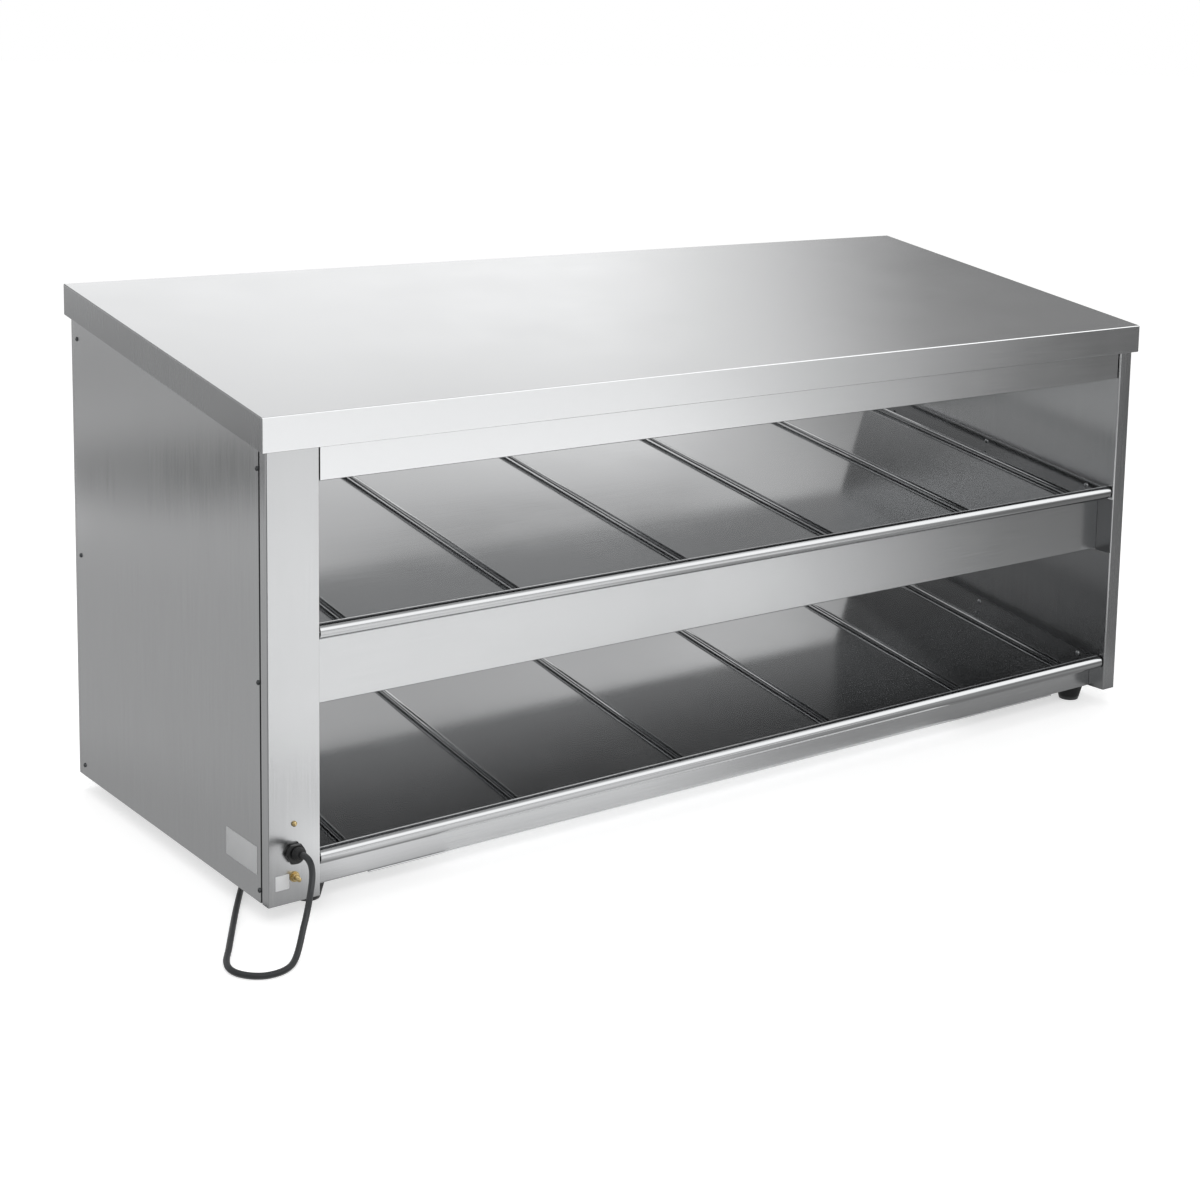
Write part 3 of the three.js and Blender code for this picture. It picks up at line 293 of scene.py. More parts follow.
# The mains cord: the same route as the solids, in the case's millimetres
cord = {
    "diameter": 7.0,
    "route": [
        (31.2, -17.95, 59.4), (31.2, -20.9, 59.9), (31.3, -27.9, 59.8), (30.2, -37.6, 57.4),
        (27.6, -46.1, 52.6), (24.2, -52.4, 45.6), (20.6, -56.4, 37.1), (17.5, -58.7, 27.8),
        (14.4, -60.5, 18.4), (10.3, -63.6, 10.1), (5.1, -68.3, 3), (-0.3, -73.9, -3.5),
        (-5.8, -79.7, -9.6), (-11.7, -85.7, -14.7), (-18.3, -92, -18.1), (-26.2, -98.6, -19.4),
        (-37, -104.3, -19.4), (-48, -105.9, -19.4), (-60, -103.5, -19.4), (-71, -95.5, -19.4),
        (-79.5, -82, -19.4), (-80.8, -68, -19.4), (-75.8, -52, -19.4), (-60, -26, -19.4),
        (-36, 14, -19.4), (-8, 60, -19.4), (24, 110, -19.4), (58, 160, -19.4), (94, 211, -19.4),
        (130, 263, -19.4), (168, 315, -19.4), (208, 361, -19.4), (248, 402, -19.4),
        (286, 438, -19.4), (322, 467.5, -19.3),
    ],
    "coilCentre": (369, 552),
    "headingDeg": 30,
    "turns": 4,
    "coilOuter": 46.2,
    "radialPitch": 7.7,
    "layerPitch": 7.6,
    "coilBase": -18.2,
    "plugAxis": -4.85,
    "fromCoil": 62,
    "leadIn": 35,       # straight stretches before the coil and beside the plug
    "plugLead": 10.5,
    "intoPlug": 0.3,
    "turnSteps": 48,
    "lineSteps": 8,
}
heading = Vector((cos(radians(cord["headingDeg"])), sin(radians(cord["headingDeg"])), 0))


# A point of the coil, which winds in, climbs to its upper layer over half a turn, and winds out
def coilPoint(turn):
    radius = cord["coilOuter"] - cord["radialPitch"] * min(turn, cord["turns"] - turn)
    share = min(max((turn - cord["turns"] / 2 + 0.25) / 0.5, 0), 1)
    climb = share * share * (3 - 2 * share)
    angle = radians(cord["headingDeg"]) - pi / 2 + 2 * pi * turn
    middle = cord["coilCentre"]
    return Vector((middle[0] + radius * cos(angle), middle[1] + radius * sin(angle),
                   cord["coilBase"] + cord["layerPitch"] * climb))


# A smooth line through points, each stretch cut into equal steps
def smoothLine(points, steps):
    spots = [Vector(p) for p in points]
    ends = [spots[0] * 2 - spots[1]] + spots + [spots[-1] * 2 - spots[-2]]
    line = []
    for i in range(1, len(ends) - 2):
        a, b, c, d = ends[i - 1:i + 3]
        gaps = [max((q - p).length, 1e-6) ** 0.5 for p, q in ((a, b), (b, c), (c, d))]
        startWay = ((b - a) / gaps[0] - (c - a) / (gaps[0] + gaps[1]) + (c - b) / gaps[1]) * gaps[1]
        endWay = ((c - b) / gaps[1] - (d - b) / (gaps[1] + gaps[2]) + (d - c) / gaps[2]) * gaps[1]
        for k in range(steps):
            t = k / steps
            line.append(b * (2 * t ** 3 - 3 * t ** 2 + 1) + startWay * (t ** 3 - 2 * t ** 2 + t)
                        + c * (3 * t ** 2 - 2 * t ** 3) + endWay * (t ** 3 - t ** 2))
    line.append(spots[-1])
    return line


coilStart = coilPoint(0) - heading * cord["diameter"]
coilEnd = coilPoint(cord["turns"]) + heading * cord["diameter"]
plugBack = Vector((coilEnd.x, coilEnd.y, cord["plugAxis"])) + heading * cord["fromCoil"]
leadIn = cord["route"] + [coilStart - heading * cord["leadIn"], coilStart]
coilLine = [coilPoint(i / cord["turnSteps"]) for i in range(cord["turns"] * cord["turnSteps"] + 1)]
tailLine = [coilEnd, coilEnd + heading * cord["plugLead"], plugBack - heading * cord["plugLead"],
            plugBack - heading * cord["intoPlug"]]
cordLine = smoothLine(leadIn, cord["lineSteps"]) + coilLine + smoothLine(tailLine, cord["lineSteps"])


def curveTube(name, points, diameter):
    data = bpy.data.curves.new(name, "CURVE")
    data.dimensions = "3D"
    data.bevel_depth = diameter / 2 * mm
    data.bevel_resolution = 4
    data.use_fill_caps = True
    spline = data.splines.new("POLY")
    spline.points.add(len(points) - 1)
    for spot, p in zip(spline.points, points):
        spot.co = (*at(*p), 1)
    spline.use_smooth = True
    return data


powerCord = addObject("mains_cord", curveTube("mains_cord", cordLine, cord["diameter"]), cordSheath,
                      "cabinet", "cord_rubber", ("power_cord", "power_cord_coil", "power_cord_tail"))


# A closed form over rings of points: a ring of one point is a tip, and a loop has no ends
def skinned(rings, loop=False):
    work = bmesh.new()
    rows = [[work.verts.new(spot) for spot in ring] for ring in rings]
    for low, high in zip(rows, rows[1:] + rows[:1] if loop else rows[1:]):
        count = max(len(low), len(high))
        for k in range(count):
            j = (k + 1) % count
            corners = [low[k % len(low)], low[j % len(low)], high[j % len(high)], high[k % len(high)]]
            corners = list(dict.fromkeys(corners))
            if len(corners) > 2:
                work.faces.new(corners)
    for ring in () if loop else (rows[0], rows[-1]):
        if len(ring) > 1:
            work.faces.new(ring)
    return work


# A turned form: (radius, distance) pairs round +Z
def turned(profile, sides, loop=False):
    angles = [2 * pi * k / sides for k in range(sides)]
    return skinned([[(radius * cos(angle), radius * sin(angle), height) for angle in angles]
                    if radius else [(0, 0, height)] for radius, height in profile], loop)


# A form of one outline in depth and height, drawn out along x
def prismX(outline, low, high):
    return skinned([[(x, u, w) for u, w in outline] for x in (low, high)])


def boxForm(x, y, z):
    return prismX([(y[0], z[0]), (y[1], z[0]), (y[1], z[1]), (y[0], z[1])], *x)


# Points of an arc in a profile: centre, radius, first and last angle in degrees
def arc(centreU, centreW, radius, fromDeg, toDeg, steps):
    angles = [radians(fromDeg + (toDeg - fromDeg) * k / steps) for k in range(steps + 1)]
    return [(centreU + radius * cos(angle), centreW + radius * sin(angle)) for angle in angles]


def roundedOutline(lowU, highU, lowW, highW, corner, steps):
    outline = []
    for u, w, start in ((highU - corner, lowW + corner, -90), (highU - corner, highW - corner, 0),
                        (lowU + corner, highW - corner, 90), (lowU + corner, lowW + corner, 180)):
        outline += arc(u, w, corner, start, start + 90, steps)
    return outline


facing = {
    "up": Matrix.Identity(4),
    "down": Matrix.Rotation(pi, 4, "X"),
    "front": Matrix.Rotation(pi / 2, 4, "X"),
    "back": Matrix.Rotation(-pi / 2, 4, "X"),
    "left": Matrix.Rotation(-pi / 2, 4, "Y"),
    "right": Matrix.Rotation(pi / 2, 4, "Y"),
}


# Takes a form made in millimetres round +Z to its direction and its place in the case
def placing(towards, place, extra=Matrix.Identity(4)):
    turn = facing[towards] if isinstance(towards, str) else towards
    return Matrix.Translation(at(*place)) @ extra @ turn @ Matrix.Diagonal((mm, mm, mm, 1))


def seat(work, towards, place, extra=Matrix.Identity(4)):
    bmesh.ops.transform(work, matrix=placing(towards, place, extra), verts=work.verts)


# One closed mesh from several closed forms, or the first less the others
def combined(name, forms, operation="UNION", angleDeg=32):
    objects = [linked(f"{name}_{i}", meshFrom(f"{name}_{i}", form)) for i, form in enumerate(forms)]
    for other in objects[1:]:
        addModifier(objects[0], "BOOLEAN", {"operation": operation, "solver": "EXACT", "object": other})
    bpy.context.view_layer.update()
    held = bpy.context.evaluated_depsgraph_get()
    mesh = bpy.data.meshes.new_from_object(objects[0].evaluated_get(held))
    mesh.name = name
    for part in objects:
        bpy.data.objects.remove(part)
    smoothByAngle(mesh, angleDeg)
    return mesh


# The same as a form that can be combined further
def combinedForm(*rest):
    mesh = combined(*rest)
    work = bmesh.new()
    work.from_mesh(mesh)
    bpy.data.meshes.remove(mesh)
    return work


# Folded sheet: a copy of a solid's mesh with its flat faces whole again, round bends where the
# metal was folded, and eased edges where it was cut
bendSizes = {
    "outer": 2.2,
    "inner": 1.0,
    "cutEdge": 0.3,
    "thinFace": 1.7,     # a face narrower than this is the sheet's cut edge
    "sharpDeg": 20,
    "flatDeg": 0.6,
    "faceShare": 0.42,   # the most of a face that one bend takes up
}


def foldedCopy(name, node, material, outer=bendSizes["outer"], segments=4, cuts=(), slotName="satin_steel"):
    work = bmesh.new()
    work.from_mesh(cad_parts[node].data)
    bmesh.ops.remove_doubles(work, verts=work.verts, dist=0.02 * mm)
    bmesh.ops.dissolve_limit(work, angle_limit=radians(bendSizes["flatDeg"]), verts=work.verts,
                             edges=work.edges)
    for point, normal in cuts:
        everything = work.verts[:] + work.edges[:] + work.faces[:]
        bmesh.ops.bisect_plane(work, geom=everything, plane_co=point, plane_no=normal)
    weights = work.edges.layers.float.new("bevel_weight_edge")
    widths = {}
    for face in work.faces:
        around = sum(edge.calc_length() for edge in face.edges)
        widths[face.index] = face.calc_area() / (around / 2) / mm
    for edge in work.edges:
        if len(edge.link_faces) != 2 or edge.calc_face_angle() < radians(bendSizes["sharpDeg"]):
            continue
        narrow = min(widths[face.index] for face in edge.link_faces)
        wanted = outer if edge.is_convex else bendSizes["inner"]
        if narrow < bendSizes["thinFace"]:
            wanted = bendSizes["cutEdge"]
        edge[weights] = min(wanted, narrow * bendSizes["faceShare"]) / outer
    mesh = bpy.data.meshes.new(name)
    work.to_mesh(mesh)
    work.free()
    mesh.polygons.foreach_set("use_smooth", [True] * len(mesh.polygons))
    piece = addObject(name, mesh, material, "cabinet", slotName, (node,))
    addModifier(piece, "BEVEL", {"limit_method": "WEIGHT", "width": outer * mm, "segments": segments,
                                 "use_clamp_overlap": False})
    addModifier(piece, "WEIGHTED_NORMAL", {"weight": 100})   # keeps the flat faces evenly shaded
    return piece


# Gives the faces that a test picks a finish of their own
def refinish(piece, material, picked):
    piece.data.materials.append(material)
    slot = len(piece.data.materials) - 1
    for face in piece.data.polygons:
        if picked(face):
            face.material_index = slot


facingFully = 0.9   # how much of a face's normal points the way that is asked for
lid = foldedCopy("lid", "top_cover", brushedAcross, outer=1.4)
# the grain stands upright on the lid's ends, which carry painted shade, and the undersides of its returns
# carry painted shade too
refinish(lid, brushedPaintedShade, lambda face: abs(face.normal.x) > facingFully)
refinish(lid, undersidePaintedShade, lambda face: face.normal.z < -0.5)
foldedCopy("roof_sheet", "roof_liner", brushedAcross)
sheets = (
    (brushedUpright, {"left_wall": "left_wall_shell", "right_wall": "right_wall_shell",
                      "left_panel": "left_outer_panel", "right_panel": "right_outer_panel",
                      "left_base": "left_wall_base", "right_base": "right_wall_base"}),
    (brushedApron, {"upper_apron": "upper_front_apron", "lower_apron": "lower_front_apron"}),
    (brushedAcross, {"upper_back": "upper_rear_apron", "lower_back": "lower_rear_apron",
                     "upper_underside": "upper_closing_sheet", "lower_pan": "bottom_pan",
                     "underside_cover": "bottom_cover", "front_stiffener": "top_stiffener_front",
                     "rear_stiffener": "top_stiffener_rear"}),
)
# painted shade on the right wall's inner face, in the recess in front of the upper apron, between these
# heights and this deep
shadePatch = {"depth": 27.2, "low": 205.0, "high": 284.0}
rear = at(0, shadePatch["depth"], 0)
low = at(0, 0, shadePatch["low"])
high = at(0, 0, shadePatch["high"])
shadeCuts = [(rear, (0, 1, 0)), (low, (0, 0, 1)), (high, (0, 0, 1))]
pieces = {}
for material, nodes in sheets:
    for name, node in nodes.items():
        pieces[name] = foldedCopy(name, node, material, cuts=shadeCuts if name == "right_wall" else ())
# painted shade in the recess in front of the upper apron and on the lower bay, painted light on the upper
# bay
for material, depth, bottom, top in ((recessPaintedShade, rear.y, low.z, high.z), (lowerBayPaintedShade, inf, -inf, low.z),
                                     (upperBayPaintedLight, inf, high.z, inf)):
    refinish(pieces["right_wall"], material, lambda face: face.normal.x < -facingFully
             and face.center.y < depth and bottom < face.center.z < top)
# painted shade on the right wall's front faces
refinish(pieces["right_wall"], brushedPaintedShade, lambda face: face.normal.y < -facingFully)
# an open joint in front of each side panel, where its dull cut edge shows as a dark line
panelJoint = {"width": 1.4, "lip": 0.4}
for name in ("left_panel", "right_panel"):
    refinish(pieces[name], cutEdge, lambda face: face.normal.y < -facingFully)
    corners = pieces[name].data.vertices
    panelFront = min(corner.co.y for corner in corners)
    for corner in corners:
        if corner.co.y < panelFront + panelJoint["lip"] * mm:
            corner.co.y += panelJoint["width"] * mm
print("folded sheets dressed")

# Shelf trays, in their own frame: u runs back along the floor and w stands off it
slope = radians(9.4)
tray = {
    "floors": {"upper": 279.3, "lower": 26.5},
    "left": 62.8,
    "right": 1360.2,
    "sheet": 1.2,
    "upstand": 16.5,
    "rear": 501.739,
    "beadRadius": 9.0,
    "beadCentre": (12.9, 12.3),
    "openDeg": 40,
    "beadGap": 2.6,
    "foldInner": 1.0,
    "foldSteps": 5,
    "band": 2.0,
    "beadSteps": 56,
}
tiltUp = Matrix.Rotation(slope, 4, "X")


def shelfMatrix(level):
    return Matrix.Translation(at(0, 0, tray["floors"][level])) @ tiltUp @ Matrix.Diagonal((mm, mm, mm, 1))


def trayMesh(level):
    sheet, upstand, rear = tray["sheet"], tray["upstand"], tray["rear"]
    fold, steps, band = tray["foldInner"], tray["foldSteps"], tray["band"]
    centre, radius = tray["beadCentre"], tray["beadRadius"]
    lip = centre[0] + radius
    faces = []
    for off in (0, sheet):   # the sheet's upper face, then its lower one
        faces.append([(rear + off, upstand)] + arc(rear - fold, fold, fold + off, 0, -90, steps)
                     + [(rear - fold - band, -off), (lip + fold + band, -off)]
                     + arc(lip + fold, fold, fold + off, 270, 180, steps)
                     + arc(*centre, radius - off, 0, 360 - tray["openDeg"], tray["beadSteps"]))
    left, right, gap = tray["left"], tray["right"], tray["beadGap"]
    forms = [prismX(faces[0] + faces[1][::-1], left + gap, right - gap),
             boxForm((left, right), (lip, rear), (-sheet, 0))]
    for x in ((left, left + sheet), (right - sheet, right)):
        forms.append(boxForm(x, (lip, rear), (-sheet, upstand)))
    mesh = combined(f"{level}_tray", forms)
    for face in mesh.polygons:
        face.material_index = 1 if face.center.y < lip else 0   # the bead keeps its brushed finish
    mesh.transform(shelfMatrix(level))
    return mesh


for level in tray["floors"]:
    piece = addObject(f"{level}_tray", trayMesh(level), brightTray, "cabinet", "satin_steel",
                      (f"{level}_shelf_tray",))
    piece.data.materials.append(brushedBead)
print("trays rolled")

# Lane dividers: a rod that lies on two small feet; its places are shares of the shelf's width
rods = {
    "radius": 3.0,
    "height": 4.3,
    "front": 22.5,
    "rear": 499.94,
    "endEase": 0.5,
    "footLength": 9,
    "footWidth": 5.8,
    "footInset": 0.4,
    "footGap": 0.3,
    "footSunk": 0.4,
    "sides": 28,
    "upper": [0.0435, 0.2215, 0.4156, 0.6067, 0.8032, 0.9673],
    "lower": [0.0408, 0.22, 0.4137, 0.6071, 0.8001, 0.9611],
    "from": 62.5,
    "span": 1298.0,
}


def rodMesh(level, x):
    radius, height, ease = rods["radius"], rods["height"], rods["endEase"]
    length, half = rods["rear"] - rods["front"], rods["footWidth"] / 2
    tip = [(radius - ease, 0), (radius - ease * 0.3, ease * 0.3), (radius, ease)]
    bar = turned(tip + [(r, length - h) for r, h in tip[::-1]], rods["sides"])
    bmesh.ops.transform(bar, matrix=Matrix.Translation((x, rods["front"], height)) @ facing["back"],
                        verts=bar.verts)
    forms = [bar]
    for low in (rods["front"] + rods["footInset"], rods["rear"] - rods["footLength"] - rods["footInset"]):
        forms.append(boxForm((x - half, x + half), (low, low + rods["footLength"]),
                             (rods["footGap"], height - rods["footSunk"])))
    mesh = combined(f"{level}_rod", forms)
    mesh.transform(shelfMatrix(level))
    return mesh


for level in tray["floors"]:
    for i, share in enumerate(rods[level]):
        node = f"{level}_divider_rod_{i + 1}"
        addObject(f"{level}_rod_{i + 1}", rodMesh(level, rods["from"] + rods["span"] * share), polishedRod,
                  f"{level}_divider_{i + 1}", "polished_steel", (node,))
print("rods laid")

# Small screws: a domed head with a cross recess. A head's sizes are its diameter and its height
screw = {
    "panelHead": (5.6, 1.8),
    "trayHead": (6.4, 2.0),
    "footHead": (8.4, 3.4),
    "sides": 24,
    "rim": 0.33,              # shares of the height
    "recess": 0.45,
    "armLength": 0.5,         # shares of the radius
    "armWidth": 0.13,
    "turnDeg": 37,            # each screw of a set stands a little further round
    "panelRows": (20, 489.5),
    "panelFoot": 14,
    "underLid": (499, 24.5),  # the lid's height at the front, and how far below it
    "trayRows": (51, 250.87, 450.74),
    "trayHeight": 9.6,
}


def screwHead(diameter, height):
    radius, rim = diameter / 2, height * screw["rim"]
    dome = [(0, 0), (radius, 0), (radius, rim)]
    dome += [(radius * cos(a), rim + (height - rim) * sin(a)) for a in (0.35, 0.7, 1.05, 1.35)]
    arm, slit = radius * screw["armLength"], radius * screw["armWidth"]
    deep = (height * screw["recess"], height + 1)
    return combinedForm("screw_form", [turned(dome + [(0, height)], screw["sides"]),
                                       boxForm((-arm, arm), (-slit, slit), deep),
                                       boxForm((-slit, slit), (-arm, arm), deep)], "DIFFERENCE")


def screwSet(name, size, places, towards, material=zincScrew, slotName="polished_steel"):
    pattern = bpy.data.meshes.new("pattern")
    head = screwHead(*size)
    head.to_mesh(pattern)
    head.free()
    whole = bmesh.new()
    for i, place in enumerate(places):
        start = len(whole.verts)
        whole.from_mesh(pattern)
        turn = Matrix.Rotation(radians(screw["turnDeg"] * i), 4, "Z")
        bmesh.ops.transform(whole, matrix=placing(facing[towards] @ turn, place), verts=whole.verts[start:])
    bpy.data.meshes.remove(pattern)
    addForm(name, whole, material, "cabinet", slotName)


panelPlaces = []
for y in screw["panelRows"]:
    bottom, top = screw["panelFoot"], screw["underLid"][0] + y * tan(slope) - screw["underLid"][1]
    panelPlaces += [(y, bottom), (y, (bottom + top) / 2), (y, top)]
for side, x in (("left", 0), ("right", caseWidth)):
    screwSet(f"{side}_panel_screws", screw["panelHead"], [(x, y, z) for y, z in panelPlaces], side,
             blackScrew, "black_plastic")
for level, floor in tray["floors"].items():
    off = screw["trayHeight"]
    for side, x, towards in (("left", tray["left"] + tray["sheet"], "right"),
                             ("right", tray["right"] - tray["sheet"], "left")):
        places = [(x, u * cos(slope) - off * sin(slope), floor + u * sin(slope) + off * cos(slope))
                  for u in screw["trayRows"]]
        screwSet(f"{level}_{side}_tray_screws", screw["trayHead"], places, towards)
print("screws set")

# Bare plates where the photographed case carries lettered ones: low and high sides of each
plates = {
    "thickness": 0.4,
    "corner": 1.2,
    "ease": 0.15,
    "sunk": 0.02,   # how deep the back lies in the steel
    "side": (25.5, 98.0, 29.5, 61.0),
    "front": (8.5, 25.0, 17.0, 33.5),
}


def plateForm(width, height):
    thick, ease = plates["thickness"], plates["ease"]
    outline = roundedOutline(0, width, 0, height, plates["corner"], 4)
    return skinned([[(x + (inset if x < width / 2 else -inset), y + (inset if y < height / 2 else -inset), z)
                     for x, y in outline] for z, inset in ((0, 0), (thick * 0.7, 0), (thick, ease))])


onSide = Matrix(((0, 0, -1, 0), (-1, 0, 0, 0), (0, 1, 0, 0), (0, 0, 0, 1)))
for name, material, turn in (("side", plateVinyl, onSide), ("front", palePlate, facing["front"])):
    near, far, bottom, top = plates[name]
    plate = plateForm(far - near, top - bottom)
    seat(plate, turn, (-plates["sunk"], far, bottom) if name == "side" else (near, -plates["sunk"], bottom))
    addForm(f"{name}_plate", plate, material, "cabinet", "satin_steel")
print("plates fixed")

# Cable gland with its boot
service = 31.25   # the gland, the brass and the controls stand in line on the service wall
gland = {
    "height": 56,
    "hexAcross": 24,
    "hexLength": 4.6,
    "hexChamfer": 2.2,
    "neckLength": 2.5,
    "neck": [(0, -9), (9, -9), (9, 0.3), (9.85, 0.3), (10.25, 0.7), (10.25, 2.8), (0, 2.8)],
    "bootPlace": (-8.75, 1.8),
    "bootDroopDeg": 10,
    "boot": [(0, 0), (7.4, 0), (7.75, 0.4), (7.75, 1.6), (7.2, 2.1), (7.0, 3.2), (7.1, 3.6), (6.9, 4.6),
             (6.4, 5.0), (6.3, 5.8), (6.4, 6.2), (6.1, 7.4), (5.6, 7.8), (5.5, 8.4), (5.0, 8.95), (0, 9)],
}


# A hexagon nut with its corners turned off, across its corners and with its face at start
def hexForm(across, length, chamfer, start):
    radius, far = across / 2, start + length
    blank = turned([(0, start), (radius, start), (radius, far), (0, far)], 6)
    cone = turned([(0, start - 0.01), (radius + 0.05, start - 0.01), (radius + 0.05, far - chamfer),
                   (radius * cos(pi / 6) - 0.2, far + 0.01), (0, far + 0.01)], 48)
    return combinedForm("hex_form", [blank, cone], "INTERSECT")


hexNut = hexForm(gland["hexAcross"], gland["hexLength"], gland["hexChamfer"], gland["neckLength"])
glandBody = combined("gland_body", [turned(gland["neck"], 48), hexNut])
glandBody.transform(placing("front", (service, 0, gland["height"])))
addObject("gland_body", glandBody, glandNylon, "cabinet", "black_plastic", ("cable_gland",))
boot = turned(gland["boot"], 40)
seat(boot, "front", (service, gland["bootPlace"][0], gland["height"] + gland["bootPlace"][1]),
     Matrix.Rotation(-radians(gland["bootDroopDeg"]), 4, "X"))
bootPiece = addForm("gland_boot_sleeve", boot, footRubber, "cabinet", "black_rubber", ("gland_boot",))
print("gland fitted")

# Tie round the coil, and plug
tie = {"inner": 30.05, "outer": 46.95, "low": -22, "high": -6.8, "thickness": 1, "half": 7, "corner": 3.4}
bands = []
for grow, ways in ((tie["thickness"], (-1, 1)), (0, (1, -1))):
    outline = roundedOutline(tie["inner"] - grow, tie["outer"] + grow, tie["low"] - grow, tie["high"] + grow,
                             tie["corner"] + grow, 6)
    bands += [[(x, way * tie["half"], z) for x, z in outline] for way in ways]
strap = skinned(bands, loop=True)
seat(strap, "up", (*cord["coilCentre"], 0), Matrix.Rotation(radians(cord["headingDeg"] + 90), 4, "Z"))
tiePiece = addForm("coil_strap", strap, footRubber, "cabinet", "black_rubber", ("cord_tie",))

plug = {
    "body": [(0, 0), (5.2, 0), (5.75, 0.5), (5.75, 2.4), (5.3, 2.9), (5.3, 3.7), (6.1, 4.2), (6.1, 6.2),
             (5.6, 6.7), (5.6, 7.5), (6.9, 8.2), (6.9, 10.2), (6.3, 10.7), (6.3, 11.5), (8.0, 12.6),
             (8.3, 16), (10.5, 19), (12.2, 22), (12.5, 25), (12.1, 30), (12.1, 35), (12.5, 39),
             (15, 40.6), (17.2, 42.2), (18, 44.2), (18, 51.8), (17.6, 52.6), (16.8, 53), (0, 53)],
    "pin": [(0, -2), (2.4, -2), (2.4, 17.4), (1.92, 18.5), (0.96, 19), (0, 19)],
    "face": 53,
    "pitch": 19,
}
forms = [turned(plug["body"], 56)]
for side in (-1, 1):
    pin = turned(plug["pin"], 20)
    bmesh.ops.translate(pin, verts=pin.verts, vec=(side * plug["pitch"] / 2, 0, plug["face"]))
    forms.append(pin)
plugBody = combined("mains_plug_body", forms)
plugBody.transform(placing("back", plugBack, Matrix.Rotation(radians(cord["headingDeg"] - 90), 4, "Z")))
plugPiece = addObject("mains_plug_body", plugBody, plugRubber, "cabinet", "black_rubber", ("mains_plug",))
print("tie and plug made")

# Feet: a rubber cone, open in the middle for its screw
foot = {
    "places": {"front_left": (76, 52), "front_right": (1347, 52), "rear_left": (76, 456),
               "rear_right": (1347, 456)},
    "profile": [(2.8, -6), (5.1, -6.4), (5.1, -22.4), (5.6, -23), (12.8, -23), (13.7, -22.6), (14.1, -21.6),
                (19.4, -2.6), (19.9, -1.4), (19.6, -0.5), (19.2, -0.3), (2.8, -0.3)],
    "screwHeight": -7.0,
}
for name, (x, y) in foot["places"].items():
    cone = turned(foot["profile"], 56, loop=True)
    seat(cone, "up", (x, y, 0))
    addForm(f"{name}_rubber_foot", cone, footRubber, "cabinet", "black_rubber", (f"{name}_foot",))
    screwSet(f"{name}_foot_screw", screw["footHead"], [(x, y, foot["screwHeight"])], "down")
print("feet fitted")

# Bonding bolt with its washers and nut, and the domed ground screw
bolt = {
    "height": 29.2,
    "radius": 2.5,
    "proud": 13,
    "pitch": 0.8,
    "threadDepth": 0.4,
    "threadFrom": 1.4,
    "hexAcross": 9.6,
    "back": -1.5,
    "head": (3.4, 0.6),   # length and chamfer
    "nut": (4, 0.7),
    "washer": [(0, 0.3), (5.6, 0.3), (5.75, 0.45), (5.75, 1.15), (5.6, 1.3), (0, 1.3)],
    "bore": [(0, -1), (2.7, -1), (2.7, 8), (0, 8)],
}
groundScrew = {
    "height": 88.7,
    "depth": -0.3,
    "profile": [(0, -8), (2, -8), (2, 0), (3.1, 0), (3.1, 0.7), (2.95, 1.2), (2.6, 1.75), (2.0, 2.2),
                (1.2, 2.5), (0, 2.6)],
}


def boltMesh():
    radius, pitch, proud = bolt["radius"], bolt["pitch"], bolt["proud"]
    profile = [(0, bolt["back"]), (radius, bolt["back"]), (radius, 1.0)]
    level = bolt["threadFrom"]
    while level < proud - 2 * pitch:
        profile += [(radius, level), (radius, level + 0.15),
                    (radius - bolt["threadDepth"], level + pitch / 2), (radius, level + pitch - 0.15)]
        level += pitch
    profile += [(radius, level + 0.1), (radius - 0.3, level + 0.5), (radius - 1.1, proud - 0.15), (0, proud)]
    length, chamfer = bolt["head"]
    head = hexForm(bolt["hexAcross"], length, chamfer, bolt["back"] - length)
    return combined("bonding_bolt_body", [turned(profile, 28), head])


def nutMesh():
    washer = turned(bolt["washer"], 40)
    nut = combinedForm("nut_form", [hexForm(bolt["hexAcross"], *bolt["nut"], bolt["washer"][-1][1]), washer])
    return combined("bonding_nut_body", [nut, turned(bolt["bore"], 28)], "DIFFERENCE")


for name, mesh in (("bonding_bolt", boltMesh()), ("bonding_nut", nutMesh())):
    mesh.transform(placing("front", (service, 0, bolt["height"])))
    addObject(f"{name}_body", mesh, turnedBrass, "cabinet", "brass", (name,))
dome = turned(groundScrew["profile"], 32)
seat(dome, "front", (service, groundScrew["depth"], groundScrew["height"]))
addForm("ground_screw_body", dome, turnedBrass, "cabinet", "brass", ("ground_screw",))
print("brass fitted")

# Control knob: a fluted grip on a skirt, with a raised pointer and its white line
knob = {
    "height": 410.0,
    "depth": 508.8,
    "flutes": 20,
    "fluteDepth": 0.6,
    "sides": 160,
    "profile": [(0, 12), (3.3, 12), (3.3, 4.2), (5.9, 4.2), (5.9, 0), (21.5, 0), (22, 0.5), (22, 2.9),
                (21.7, 3.5), (21.1, 3.9), (19.6, 4.1), (18.8, 4.6)],
    # radius, height and how deep the flutes are there
    "grip": [(18.5, 5.4, 0.2), (18.46, 6.6, 0.8), (18.4, 8, 1), (18.2, 16.4, 1), (18.1, 17.8, 0.8),
             (17.9, 18.8, 0.4), (17.5, 19.5, 0.1)],
    "crown": [(16.9, 19.86), (16.0, 20), (0, 20)],
    "pointer": {"half": 1.5, "from": 3.6, "to": 15.6, "levels": ((19, 0), (20.5, 0), (21.3, 0.5))},
    "line": {"half": 0.6, "from": 4.6, "to": 15.0, "low": 21.28, "high": 21.42},
}


